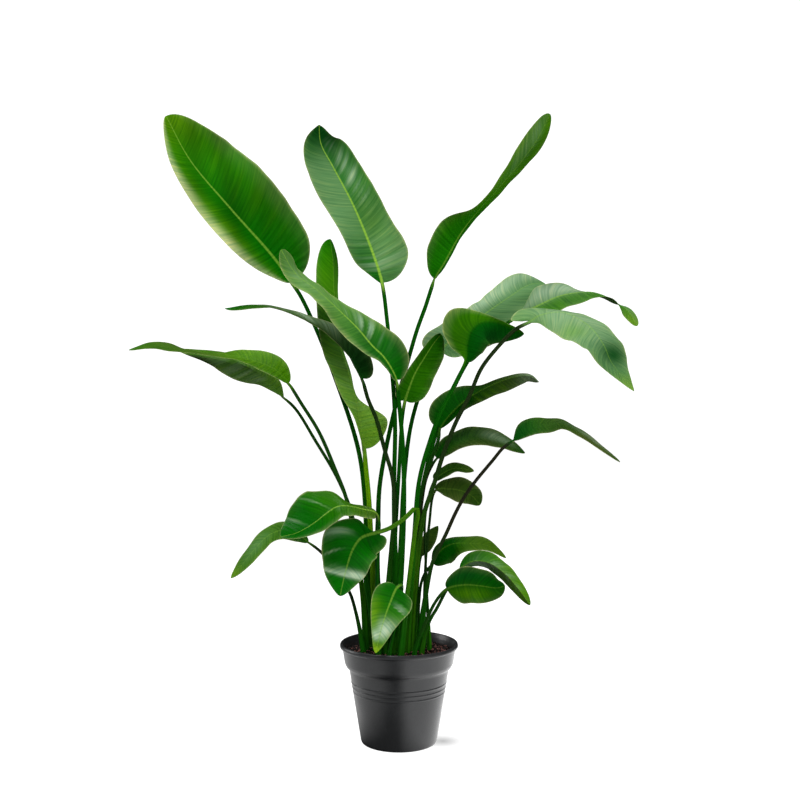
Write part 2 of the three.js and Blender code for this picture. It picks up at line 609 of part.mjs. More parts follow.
function leafGeometry(leaf) {
  return skin(leafRows(leaf).map((row) => leafRing(leaf, row, 0)));
}

// The hole that a stalk stands in: the stalk's own rings, made larger, from just under its foot
// to above the soil.
function stalkHole(leaf) {
  const rings = [];
  for (const row of leafRows(leaf)) {
    const ring = leafRing(leaf, row, HOLE_CLEARANCE);
    if (rings.length === 0) {
      ring.forEach((point) => point.addScaledVector(row.direction, -HOLE_CLEARANCE));
    }
    rings.push(ring);
    if (Math.min(...ring.map((point) => point.z)) > HOLE_TOP) {
      break;
    }
  }
  return skin(rings);
}

// Pot
function wallRadius(height) {
  return mix(FOOT_RADIUS, WALL_TOP_RADIUS, (height - FOOT_ROUNDING) / (WALL_TOP - FOOT_ROUNDING));
}

// The pot's inner face from the rim down to the floor, moved inward by a gap.
function insideProfile(gap) {
  const shift = WALL_THICKNESS + gap;
  return [
    [RIM_RADIUS - LIP_WIDTH - gap, POT_HEIGHT - 0.8],
    [BAND_TOP_RADIUS - shift, BAND_TOP],
    [BAND_LOW_RADIUS - shift, BAND_LOW + 1],
    [WALL_TOP_RADIUS - shift, WALL_TOP + 2],
    [FOOT_RADIUS - shift, FLOOR_THICKNESS + gap],
    [0, FLOOR_THICKNESS + gap],
  ];
}

// The pot's outer face from the floor up: a tapered wall with three fine rings, a shoulder, a
// wider band and a rolled lip.
function outsideProfile() {
  const rings = RING_HEIGHTS.flatMap((height) => {
    const radius = wallRadius(height);
    return [
      [radius, height - RING_HALF_WIDTH],
      [radius + RING_RELIEF, height],
      [radius, height + RING_HALF_WIDTH],
    ];
  });
  return [
    [0, 0],
    [FOOT_RADIUS - FOOT_ROUNDING, 0],
    [FOOT_RADIUS - 0.3 * FOOT_ROUNDING, 0.3 * FOOT_ROUNDING],
    [FOOT_RADIUS, FOOT_ROUNDING],
    ...rings,
    [WALL_TOP_RADIUS, WALL_TOP],
    [WALL_TOP_RADIUS + SHOULDER_STEP[0], WALL_TOP + SHOULDER_STEP[1]],
    [BAND_LOW_RADIUS, BAND_LOW],
    [BAND_TOP_RADIUS, BAND_TOP],
    [RIM_RADIUS - 0.6, POT_HEIGHT - LIP_HEIGHT],
    [RIM_RADIUS, POT_HEIGHT - 2 * EDGE_ROUNDING],
    [RIM_RADIUS - 0.8, POT_HEIGHT - 2],
    [RIM_RADIUS - EDGE_ROUNDING, POT_HEIGHT],
  ];
}

function potGeometry() {
  let pot = toSolid(turned([...outsideProfile(), ...insideProfile(0)], POT_SIDES));
  for (let i = 0; i < DRAIN_COUNT; i += 1) {
    const angle = 2 * Math.PI * (i + 0.5) / DRAIN_COUNT;
    const drill = new THREE.CylinderGeometry(
      DRAIN_RADIUS, DRAIN_RADIUS, 4 * FLOOR_THICKNESS, DRAIN_SIDES);
    drill.rotateX(Math.PI / 2);
    drill.translate(DRAIN_CIRCLE * Math.cos(angle), DRAIN_CIRCLE * Math.sin(angle), 0);
    pot = pot.subtract(toSolid(drill));
  }
  return toGeometry(pot);
}

// Soil: it fills the pot to under the rim, with a lumpy top and a hole for every stalk.
function soilGeometry() {
  const [, bandTop, ...below] = insideProfile(SOIL_CLEARANCE);
  const bandLow = below[0];
  const edgeHeight = SOIL_TOP - SOIL_EDGE_DROP;
  const edge = mix(
    bandLow[0], bandTop[0], (edgeHeight - bandLow[1]) / (bandTop[1] - bandLow[1]));
  const profile = [
    [0, SOIL_TOP],
    ...SOIL_CIRCLES.map((share) => [edge * share, SOIL_TOP]),
    [edge, edgeHeight],
    ...below,
  ];
  const geometry = turned(profile.reverse(), POT_SIDES);
  const places = geometry.attributes.position;
  for (let i = 0; i < places.count; i += 1) {
    const height = places.getZ(i);
    if (height > SOIL_TOP - SOIL_EDGE_DROP / 2) {
      const across = Math.sin(LUMPS_ACROSS * places.getX(i) + 0.6);
      const deep = Math.sin(LUMPS_DEEP * places.getY(i) + 0.2);
      places.setZ(i, height + LUMP_HEIGHT * across * deep);
    }
  }
  let soil = toSolid(geometry);
  for (const leaf of LEAVES) {
    soil = soil.subtract(toSolid(stalkHole(leaf)));
  }
  return toGeometry(soil);
}

function named(name, geometry, colour, roughness) {
  const material = new THREE.MeshStandardMaterial({ color: colour, roughness, metalness: 0 });
  const mesh = new THREE.Mesh(geometry, material);
  mesh.name = name;
  return mesh;
}

const plant = new THREE.Group();
plant.add(named("pot", potGeometry(), COLOURS.pot, 0.5));
plant.add(named("soil", soilGeometry(), COLOURS.soil, 1));
for (const leaf of LEAVES) {
  plant.add(named(leaf.name, leafGeometry(leaf), COLOURS.leaf, 0.35));
}

export default plant;
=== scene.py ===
"""A potted bird of paradise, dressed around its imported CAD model.

The leaves, the soil and the pot are surfaces worked out with numpy on grids: a leaf is the CAD
leaf's own formula on a finer grid, with pleats along its side veins. Lengths in the leaf table
and in the functions are millimetres, and a mesh is written in metres.
"""

import math

import bpy
import numpy as np
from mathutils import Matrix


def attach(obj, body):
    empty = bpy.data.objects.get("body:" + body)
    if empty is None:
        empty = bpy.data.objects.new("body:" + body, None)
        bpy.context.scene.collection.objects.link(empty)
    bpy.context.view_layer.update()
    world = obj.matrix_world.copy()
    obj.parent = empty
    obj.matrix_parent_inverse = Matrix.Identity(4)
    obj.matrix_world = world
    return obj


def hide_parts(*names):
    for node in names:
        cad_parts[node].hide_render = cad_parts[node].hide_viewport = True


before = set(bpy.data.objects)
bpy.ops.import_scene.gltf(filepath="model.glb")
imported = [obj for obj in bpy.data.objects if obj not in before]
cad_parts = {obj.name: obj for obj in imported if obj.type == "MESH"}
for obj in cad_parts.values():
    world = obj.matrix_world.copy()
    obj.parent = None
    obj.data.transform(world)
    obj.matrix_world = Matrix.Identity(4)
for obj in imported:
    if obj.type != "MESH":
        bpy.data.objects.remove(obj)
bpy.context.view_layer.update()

bl_info = {
    "name": "Potted bird of paradise",
    "version": (1, 0, 0),
    "blender": (4, 5, 0),
    "location": "3D View > Sidebar > Plant",
    "description": "Builds the leaves, soil, pot and studio of a potted bird of paradise",
    "category": "Object",
}

MM = 0.001
TO_MM = 1000

# The eye that the leaf table is noted for, as in the part's source.
EYE_DISTANCE = 2141
EYE_HEIGHT = 679
EYE_ACROSS = 2

# Leaf in millimetres, as in the part's source but for finer rows and columns and a rounder stalk
TANGENT_STEP = 2
LINE_SAMPLES = 40
NECK_LENGTH = 24
SHEATH_SHARE = 0.484
SHEATH_WEIGHT = 0.75
STALK_FLATNESS = 0.8
STALK_ROUNDNESS = 0.985
CHANNEL_DEPTH = 0.35
CHANNEL_NARROWING = 4
RIB_TAPER = 0.8
NARROWEST_RIB = 1
RIB_SHOWN_ABOVE = 0.15
LOBE_REACH = 0.3
LEFT_WAVE_LAG = 2.2
TIP_FROM = 0.98
NARROWEST_TIP = 1.2
ROW_BUNCHING = 0.7
STALK_BUNCHING = 1.3
STALK_STEP = 4
STALK_ROWS = (24, 70)
BLADE_ROWS = (50, 190)
RIB_COLUMNS = [0, 0.4, 0.75, 1]
BLADE_COLUMNS = [0.03, 0.08, 0.15, 0.23, 0.31, 0.39, 0.47, 0.55, 0.63, 0.71, 0.79, 0.86,
                 0.92, 0.965, 0.99, 1]

TOWARD_EYE = [[0, -1, 0]]

# Veins and pleats of a blade, in millimetres and in shares of a half's width. A wander is how
# far the pleats drift along the midrib, over a long and a short distance.
VEIN_TURN = 0.8
VEIN_BEND = 0.25
LONG_WANDER = 45
LONG_WANDER_REACH = 3
SHORT_WANDER = 17
PLEATS_FROM_RIB = 14
PLEATS_FADE = 0.25
PLEATS_AT_MARGIN = 0.2
PLEAT_STRENGTH = 0.65
PLEAT_CHANGE = 0.45
PLEAT_PATCH = (25, 60)
RELIEF_END = 4
MARGIN_THINNING = 0.85

# Colour of a blade: blotches and streaks with their lengths in millimetres along the veins and
# across, the pale margin with the fine line at its very edge, the tip, midrib and underside.
HALVES_MEET = 12
EDGES = [0.04, 0.04]
BLOTCH_WAVES = 7
BLOTCH_ACROSS = 70
FINE_BLOTCH = (30, 25)
FINE_BLOTCH_SHARE = 0.6
BLOTCH_STRENGTH = 0.3
STREAKS = (8, 4)
STREAK_CONTRAST = 1.2
STREAK_LIFT = 0.2
STRONG_STREAK_CONTRAST = 4
EDGE_PATCH = 40
EDGE_CHANGE = 0.5
EDGE_FROM = 0.5
EDGE_POWER = 1.5
LINE_FROM = 0.955
LINE_WIDTH = 0.03
LINE_SHARE = 0.35
TIP_TURNS_AT = 0.8
TIP_TURNS_OVER = 0.2
RIB_SPREAD = 1.1
RIB_LIGHT = 0.4
UNDERSIDE_SHARE = 0.6
UNDERSIDE_RIB = 0.4

# Colour of a stalk, in shares of its length, and the roughness of the leaf's parts
SHEATH_WAVES = 5
SHEATH_FRESH = 0.3
STALK_TURNS_AT = 0.15
STALK_TURNS_OVER = 0.5
UPPER_GLOSS = 0.4
UNDERSIDE_GLOSS = 0.55
STALK_GLOSS = 0.5

# Length on a leaf, in millimetres, that is 1 in its map of veins
UV_LENGTH = 100

# Seeds of a leaf's drifts, to which its number is added. The ripple of its margins has 10 times
# the number as its seed on the left, and 2 more on the right.
SEED = dict(long_wander=100, short_wander=200, pleats=300, blotch=400, fine_blotch=500,
            edge=600, sheath=700, streak=800, fine_streak=900)

# For each leaf: the points of its stalk from inside the soil up to the blade, then of the midrib
# out to the tip, each as across, up and near. Face is the direction that the upper side looks
# toward, which is the eye where it isn't given. Left and right are the blade's halves, seen on
# the upper side with the tip up, with their widths in millimetres and the degrees by which they
# rise from the face. All of these lists are spread evenly from base to tip. Ends holds the share
# of the blade that rounds off at the base, the share at the tip and the power of the tip's
# curve. Lobes is how far each half reaches back past the base. Wave is the height and the number
# of the margin's waves. Size is the stalk's half width at the soil and at the blade.
LEAVES = [
    dict(name="leaf_tall_left",
        stalk=[[-58, 122, -34], [-60, 182, -34], [-64, 330, -30], [-68, 480, -28], [-82, 586, -28],
            [-132, 738, -28], [-164, 820, -30], [-198, 892, -30], [-216, 918, -28]],
        rib=[[-250, 966, -20], [-338, 1066, 0], [-418, 1162, 10], [-466, 1250, 22]],
        face=[[0.1, -1, 0.15], [0, -1, 0.2], [-0.1, -1, 0.3]],
        left=dict(width=[26, 55, 57, 43, 28], rise=[20, 15, 15, 25]),
        right=dict(width=[64, 93, 98, 82, 62], rise=[5]),
        ends=[0.16, 0.3, 0.5], lobes=[0, 14], wave=[5, 2.5], size=[9, 4]),
    dict(name="leaf_tall_middle",
        stalk=[[-6, 122, 4], [-6, 182, 4], [-8, 362, -2], [-10, 504, -6], [-8, 642, -12],
            [-16, 762, -14], [-24, 842, -14], [-34, 916, -12]],
        rib=[[-54, 980, -12], [-92, 1072, -8], [-132, 1148, 2], [-156, 1194, 14],
            [-160, 1232, 36]],
        face=[[0.3, -1, 0.1], [0.2, -1, 0.2], [0.2, -1, 0.2], [0.1, -1, 0.3], [0, -1, 0.5]],
        left=dict(width=[26, 44, 50, 56, 59, 51, 32], rise=[10]),
        right=dict(width=[60, 71, 61, 55, 53, 46, 32], rise=[5]),
        ends=[0.16, 0.2, 0.7], lobes=[-8, 8], wave=[3, 2.5], size=[9, 4]),
    dict(name="leaf_tall_right",
        stalk=[[-32, 122, -44], [-34, 182, -44], [-44, 330, -42], [-42, 438, -40], [-38, 516, -40],
            [-10, 658, -40], [10, 732, -38], [36, 822, -36], [52, 866, -34], [72, 924, -30]],
        rib=[[90, 954, -26], [134, 1030, -18], [202, 1110, -8], [242, 1156, -2], [278, 1206, 6],
            [302, 1254, 14]],
        left=dict(width=[46, 52, 54, 54, 54, 52, 50, 44, 38],
            rise=[40, 30, 32, 79, 86, 77, 66, 57, 50]),
        right=dict(width=[46, 50, 52, 50, 50, 48, 46, 44, 38],
            rise=[-85, -86, -86, -85, -82, -80, -75, -68, -60]),
        ends=[0.14, 0.2, 0.5], lobes=[0, 0], wave=[3, 2], size=[9, 4]),
    dict(name="leaf_narrow",
        stalk=[[-42, 122, -22], [-44, 182, -22], [-54, 362, -20], [-60, 482, -18], [-66, 546, -18],
            [-70, 584, -16]],
        rib=[[-78, 632, -18], [-86, 682, -24], [-102, 738, -32], [-116, 782, -36],
            [-126, 842, -36], [-130, 902, -32], [-132, 958, -28], [-138, 1004, -24]],
        left=dict(width=[30, 36, 44, 50, 50, 48, 48, 46, 44],
            rise=[84, 80, 56, 54, 46, 44, 45, 45, 45]),
        right=dict(width=[50, 58, 44, 48, 48, 46, 44, 40, 36],
            rise=[0, -16, -84, -86, -86, -86, -82, -78, -75]),
        ends=[0.14, 0.16, 0.5], lobes=[0, 6], wave=[3, 3], size=[10, 4.6]),
    dict(name="leaf_diagonal",
        stalk=[[-8, 122, 26], [-8, 182, 26], [6, 362, 28], [10, 482, 30], [8, 582, 32],
            [0, 676, 36], [-6, 722, 38]],
        rib=[[-16, 744, 41], [-32, 768, 46], [-54, 790, 54], [-82, 824, 64], [-108, 850, 74],
            [-162, 900, 98], [-208, 936, 120], [-236, 982, 138]],
        left=dict(width=[30, 42, 46, 50, 50, 48, 46, 42, 34],
            rise=[76, 78, 66, 55, 56, 66, 67, 62, 55]),
        right=dict(width=[40, 56, 56, 56, 52, 50, 46, 42, 34],
            rise=[-50, -30, -36, -56, -70, -76, -75, -73, -60]),
        ends=[0.1, 0.2, 0.5], lobes=[4, 14], wave=[3, 3], size=[9, 4.2]),
    dict(name="leaf_left_upper",
        stalk=[[-30, 122, 22], [-30, 182, 22], [-14, 400, 18], [-8, 462, 16], [-14, 532, 14],
            [-28, 580, 12], [-46, 646, 12], [-62, 684, 12], [-74, 724, 14]],
        rib=[[-96, 768, 26], [-148, 820, 52], [-198, 848, 62], [-244, 865, 70], [-294, 872, 84],
            [-348, 865, 100]],
        left=dict(width=[40, 48, 50, 46, 36], rise=[84, 85, 86, 86, 86, 86, 84, 70, 54]),
        right=dict(width=[64, 56, 50, 46, 36], rise=[-50, -62, -76, -84, -82]),
        ends=[0.16, 0.3, 0.6], lobes=[0, 28], wave=[3, 3], size=[8.5, 3.8]),
    dict(name="leaf_left_lower",
        stalk=[[-64, 122, -6], [-66, 182, -6], [-70, 264, 2], [-76, 320, 5], [-104, 480, 6],
            [-128, 544, 7], [-160, 618, 9], [-196, 676, 11], [-222, 716, 13]],
        rib=[[-254, 746, 17], [-308, 764, 24], [-368, 772, 32], [-438, 782, 40], [-488, 790, 46],
            [-540, 782, 52]],
        left=dict(width=[36, 48, 48, 46, 44, 44, 36], rise=[78, 74, 82, 85, 84, 79, 75]),
        right=dict(width=[26, 50, 48, 46, 44, 46, 36], rise=[-48, -58, -68, -85, -84, -74, -70]),
        ends=[0.16, 0.3, 0.6], lobes=[0, 8], wave=[2, 3], size=[7.5, 3.4]),
    dict(name="leaf_left_under",
        stalk=[[-44, 122, 2], [-46, 182, 2], [-57, 264, -8], [-66, 320, -13], [-96, 460, -13],
            [-112, 502, -13], [-134, 546, -14], [-168, 602, -16], [-198, 652, -18],
            [-212, 670, -20], [-232, 688, -23]],
        rib=[[-274, 730, -27], [-308, 750, -30], [-354, 770, -32], [-398, 776, -30],
            [-442, 782, -26]],
        left=dict(width=[20, 42, 44, 44, 42, 40, 32], rise=[82, 72, 48, 42, 54, 70, 70]),
        right=dict(width=[16, 40, 40, 40, 38, 36, 30], rise=[-60, -66, -70, -76, -78, -76, -70]),
        ends=[0.16, 0.3, 0.6], lobes=[0, 0], wave=[2, 3], size=[7.5, 3]),
    dict(name="leaf_right_round",
        stalk=[[12, 122, 24], [14, 182, 24], [30, 400, 28], [38, 504, 28], [46, 546, 28],
            [62, 600, 26], [76, 640, 24], [104, 698, 20], [116, 722, 16], [134, 760, 10]],
        rib=[[136, 792, 0], [144, 820, -14], [162, 836, -24], [192, 838, -36], [222, 828, -49],
            [250, 814, -61]],
        face=[[0, -1, 0.2]],
        left=dict(width=[10, 32, 54, 58, 24, 8, 6, 6, 6], rise=[10, 5, 10, 30, 40]),
        right=dict(width=[36, 46, 50, 46, 30], rise=[-60, -30, -14, -30, -30]),
        ends=[0.16, 0.3, 0.5], lobes=[-4, 0], wave=[3, 3], size=[8.5, 4]),
    dict(name="leaf_right_middle",
        stalk=[[6, 122, -20], [8, 182, -20], [30, 400, -18], [50, 520, -18], [64, 560, -19],
            [78, 600, -20], [84, 626, -21]],
        rib=[[110, 660, -24], [142, 688, -28], [182, 710, -36], [224, 726, -44], [262, 730, -52],
            [280, 718, -56]],
        face=[[0, -1, 0.1]], left=dict(width=[46, 48, 46, 42, 36], rise=[-5, -30, -70, -76, -70]),
        right=dict(width=[26, 34, 40, 40, 34], rise=[-74, -68, -60, -60, -60]),
        ends=[0.16, 0.3, 0.6], lobes=[12, 0], wave=[3, 2.5], size=[8, 3.4]),
    dict(name="leaf_right_long",
        stalk=[[18, 122, 2], [20, 182, 2], [26, 264, 2], [40, 396, 2], [50, 454, 0], [70, 514, -2],
            [88, 572, -3], [114, 638, -4], [140, 688, -4], [164, 744, -2], [196, 786, 2],
            [234, 824, 6], [262, 838, 9]],
        rib=[[280, 850, 14], [304, 857, 22], [330, 857, 32], [360, 844, 44], [388, 822, 58],
            [410, 790, 72], [424, 758, 82], [470, 700, 102]],
        left=dict(width=[56, 58, 60, 62, 60, 54, 40], rise=[-30, -80, -70, -54, -44, -56, -64]),
        right=dict(width=[16, 56, 64, 66, 62, 52, 40], rise=[64, 50, 34, 34, 48, 60, 60]),
        ends=[0.14, 0.3, 0.7], lobes=[78, 0], wave=[3, 2.5], size=[10, 3.8]),
    dict(name="leaf_right_back",
        stalk=[[-8, 122, -42], [-6, 182, -42], [4, 400, -48], [10, 520, -54], [22, 622, -64],
            [40, 690, -76], [60, 738, -90], [84, 780, -106]],
        rib=[[126, 820, -132], [172, 854, -162], [218, 886, -196], [260, 912, -230],
            [290, 916, -262]],
        face=[[0, -1, 0.1]],
        left=dict(width=[62, 54, 50, 60, 66], rise=[-25, -40, -44, -44, -40]),
        right=dict(width=[60, 60, 58, 52, 42], rise=[35, 35, 40, 45]),
        ends=[0.14, 0.26, 0.5], lobes=[44, 26], wave=[4, 2.5], size=[9, 4]),
    dict(name="leaf_right_tip",
        stalk=[[16, 122, -42], [18, 182, -42], [34, 400, -48], [54, 540, -58], [98, 680, -74],
            [160, 790, -80], [236, 848, -86]],
        rib=[[280, 871, -88], [320, 889, -86], [352, 896, -80], [384, 898, -74], [412, 890, -68],
            [436, 876, -64], [458, 860, -60], [476, 830, -56]],
        face=[[0, -1, 0.1]],
        left=dict(width=[8, 26, 52, 54, 48, 40, 30, 32, 30],
            rise=[-10, -15, -38, -52, -76, -84, -84, -62, -50]),
        right=dict(width=[40, 48, 50, 50, 48, 42, 32, 32, 30],
            rise=[60, 55, 50, 50, 52, 62, 80, 50, 50]),
        ends=[0.14, 0.14, 0.5], lobes=[-16, 0], wave=[2, 2.5], size=[9, 3.8]),
    dict(name="leaf_middle",
        stalk=[[-16, 122, -18], [-16, 182, -18], [-8, 400, -16], [0, 540, -14], [6, 640, -12],
            [12, 680, -12]],
        rib=[[18, 700, -12], [32, 736, -12], [50, 766, -14], [68, 794, -18], [84, 814, -24]],
        face=[[0, -1, 0.1]], left=dict(width=[34, 24, 20, 18, 16], rise=[30, 45, 50, 50]),
        right=dict(width=[30, 42, 40, 36, 28], rise=[-20]),
        ends=[0.16, 0.3, 0.5], lobes=[8, 8], wave=[4, 3], size=[8, 3.6]),
    dict(name="leaf_right_arched",
        stalk=[[28, 122, -20], [30, 182, -20], [38, 380, -26], [46, 480, -32], [56, 530, -35],
            [76, 566, -38]],
        rib=[[112, 596, -42], [152, 607, -48], [198, 601, -56], [252, 576, -64]],
        left=dict(width=[30, 38, 40, 38, 30], rise=[-58]),
        right=dict(width=[26, 34, 36, 34, 28], rise=[66]),
        ends=[0.2, 0.5, 0.6], lobes=[4, 4], wave=[2, 2.5], size=[7.5, 3.2]),
    dict(name="leaf_far_right",
        stalk=[[38, 122, 2], [40, 182, 4], [46, 240, 6], [58, 318, 8], [68, 360, 10],
            [94, 414, 12], [112, 454, 14], [128, 484, 16], [150, 516, 18], [188, 562, 20],
            [208, 586, 20], [230, 602, 20]],
        rib=[[254, 622, 22], [288, 633, 26], [324, 636, 32], [362, 618, 40], [398, 592, 48],
            [442, 558, 56]],
        left=dict(width=[16, 36, 36, 34, 34, 32, 26], rise=[-56, -60, -76, -78, -76, -76, -70]),
        right=dict(width=[16, 32, 38, 36, 34, 32, 26], rise=[64, 66, 64, 72, 72, 74, 70]),
        ends=[0.16, 0.4, 0.6], lobes=[0, 0], wave=[2, 3], size=[8, 3.2]),
    dict(name="leaf_small_upper",
        stalk=[[61, 122, -4], [61, 182, -4], [57, 270, -7], [54, 340, -7], [52, 440, -10],
            [62, 500, -15], [72, 522, -19]],
        rib=[[90, 536, -19], [112, 545, -19], [150, 540, -19]],
        face=[[-0.2, -0.6, 0.8]], left=dict(width=[16], rise=[10]),
        right=dict(width=[16], rise=[10]),
        ends=[0.2, 0.5, 0.65], lobes=[2, 2], wave=[1, 2], size=[6, 2.4]),
    dict(name="leaf_small_lower",
        stalk=[[50, 122, -16], [50, 182, -16], [52, 330, -18], [60, 430, -20], [74, 502, -22]],
        rib=[[100, 504, -22], [126, 500, -20], [146, 490, -16], [162, 472, -12]],
        face=[[0, -1, 0.3]], left=dict(width=[10, 24, 28, 26, 20], rise=[-10]),
        right=dict(width=[8, 18, 26, 24, 16], rise=[10]),
        ends=[0.2, 0.4, 0.5], lobes=[2, 2], wave=[3, 2], size=[6, 2.6]),
    dict(name="leaf_low_right_back",
        stalk=[[38, 122, -40], [38, 182, -40], [40, 280, -38], [46, 322, -34], [56, 342, -32],
            [68, 356, -30]],
        rib=[[82, 380, -28], [106, 394, -24], [142, 395, -18], [178, 390, -14], [214, 366, -8]],
        left=dict(width=[20, 26, 28, 28, 26, 24, 18], rise=[-60, -66, -70, -66, -60, -66, -60]),
        right=dict(width=[26, 34, 34, 30, 28, 26, 20], rise=[40, 22, 30, 62, 72, 74, 70]),
        ends=[0.16, 0.4, 0.6], lobes=[0, 6], wave=[2, 2.5], size=[7, 2.8]),
    dict(name="leaf_low_right_long",
        stalk=[[46, 122, 24], [46, 182, 24], [60, 238, 25], [76, 266, 26], [96, 304, 29],
            [122, 344, 34]],
        rib=[[148, 359, 40], [178, 357, 48], [208, 338, 58], [236, 308, 70], [262, 272, 82]],
        left=dict(width=[18, 34, 34, 32, 28], rise=[-58, -62, -64, -60]),
        right=dict(width=[18, 34, 34, 32, 28], rise=[-58, -62, -64, -62]),
        ends=[0.16, 0.4, 0.6], lobes=[0, 0], wave=[2, 2.5], size=[7, 3]),
    dict(name="leaf_low_right_round",
        stalk=[[30, 122, 44], [32, 182, 44], [50, 230, 48], [74, 280, 54], [96, 304, 60]],
        rib=[[130, 312, 68], [164, 310, 76], [196, 306, 82], [212, 310, 86]],
        face=[[0, -1, 0.3]], left=dict(width=[26, 36, 36, 30, 22], rise=[-10]),
        right=dict(width=[26, 36, 36, 32, 24], rise=[10]),
        ends=[0.3, 0.4, 0.5], lobes=[6, 4], wave=[3, 2.5], size=[7, 3]),
    dict(name="leaf_small_back",
        stalk=[[32, 122, -64], [32, 182, -64], [36, 290, -62], [44, 370, -59]],
        rib=[[54, 392, -58], [64, 410, -56], [78, 430, -54]],
        left=dict(width=[8, 14, 14, 10], rise=[10]), right=dict(width=[8, 14, 14, 10], rise=[10]),
        ends=[0.3, 0.5, 0.6], lobes=[0, 0], wave=[1, 2], size=[6, 2.6]),
    dict(name="leaf_low_left_upper",
        stalk=[[-42, 122, 38], [-42, 182, 38], [-44, 300, 42], [-42, 400, 46], [-40, 438, 52],
            [-46, 456, 62]],
        rib=[[-74, 464, 74], [-102, 470, 84], [-124, 468, 93], [-146, 454, 102], [-172, 434, 112],
            [-204, 416, 124], [-236, 408, 136]],
        left=dict(width=[30, 34, 38, 40, 42, 42, 38, 32, 26],
            rise=[66, 70, 72, 64, 60, 60, 66, 74, 75]),
        right=dict(width=[14, 16, 20, 43, 58, 60, 53, 45, 36],
            rise=[-64, -72, -78, -48, -24, -14, -20, -36, -50]),
        ends=[0.12, 0.24, 0.5], lobes=[0, 0], wave=[2, 2], size=[8, 3.4]),
    dict(name="leaf_low_left_far",
        stalk=[[-70, 122, 18], [-72, 182, 18], [-88, 264, 20], [-100, 300, 24], [-126, 338, 28],
            [-154, 376, 30], [-182, 398, 32]],
        rib=[[-206, 414, 36], [-234, 421, 42], [-262, 410, 50], [-290, 381, 58], [-312, 354, 64],
            [-336, 326, 70]],
        left=dict(width=[16, 28, 30, 30, 26], rise=[62, 62, 60, 60]),
        right=dict(width=[16, 28, 32, 30, 26], rise=[-60, -62, -62, -62]),
        ends=[0.16, 0.4, 0.6], lobes=[0, 0], wave=[2, 2.5], size=[7, 2.8]),
    dict(name="leaf_low_left_front",
        stalk=[[2, 122, 48], [4, 182, 48], [20, 320, 50], [32, 420, 52], [38, 454, 54],
            [34, 466, 58], [12, 446, 64], [-18, 426, 68], [-44, 417, 71]],
        rib=[[-60, 413, 74], [-76, 406, 78], [-92, 384, 88], [-106, 342, 104], [-118, 290, 120]],
        left=dict(width=[22, 42, 48, 44, 40, 29, 18], rise=[10]),
        right=dict(width=[2, 38, 64, 58, 47, 35, 20], rise=[10]),
        ends=[0.1, 0.3, 0.5], lobes=[34, -14], wave=[2, 2], size=[8, 4.2]),
    dict(name="leaf_low_front",
        stalk=[[-20, 122, 48], [-18, 182, 48], [-2, 250, 50], [6, 296, 56], [6, 312, 68],
            [-4, 307, 80]],
        rib=[[-18, 276, 94], [-32, 236, 110], [-47, 176, 126]],
        left=dict(width=[34, 42, 30, 18, 10], rise=[10]),
        right=dict(width=[34, 38, 28, 16, 10], rise=[10]),
        ends=[0.16, 0.3, 0.6], lobes=[3, 3], wave=[2, 2], size=[7, 3]),
]

# Leaf materials with the strength of their mirror light.
SKINS = {"leaf_skin": 0.012, "leaf_satin": 0.08}

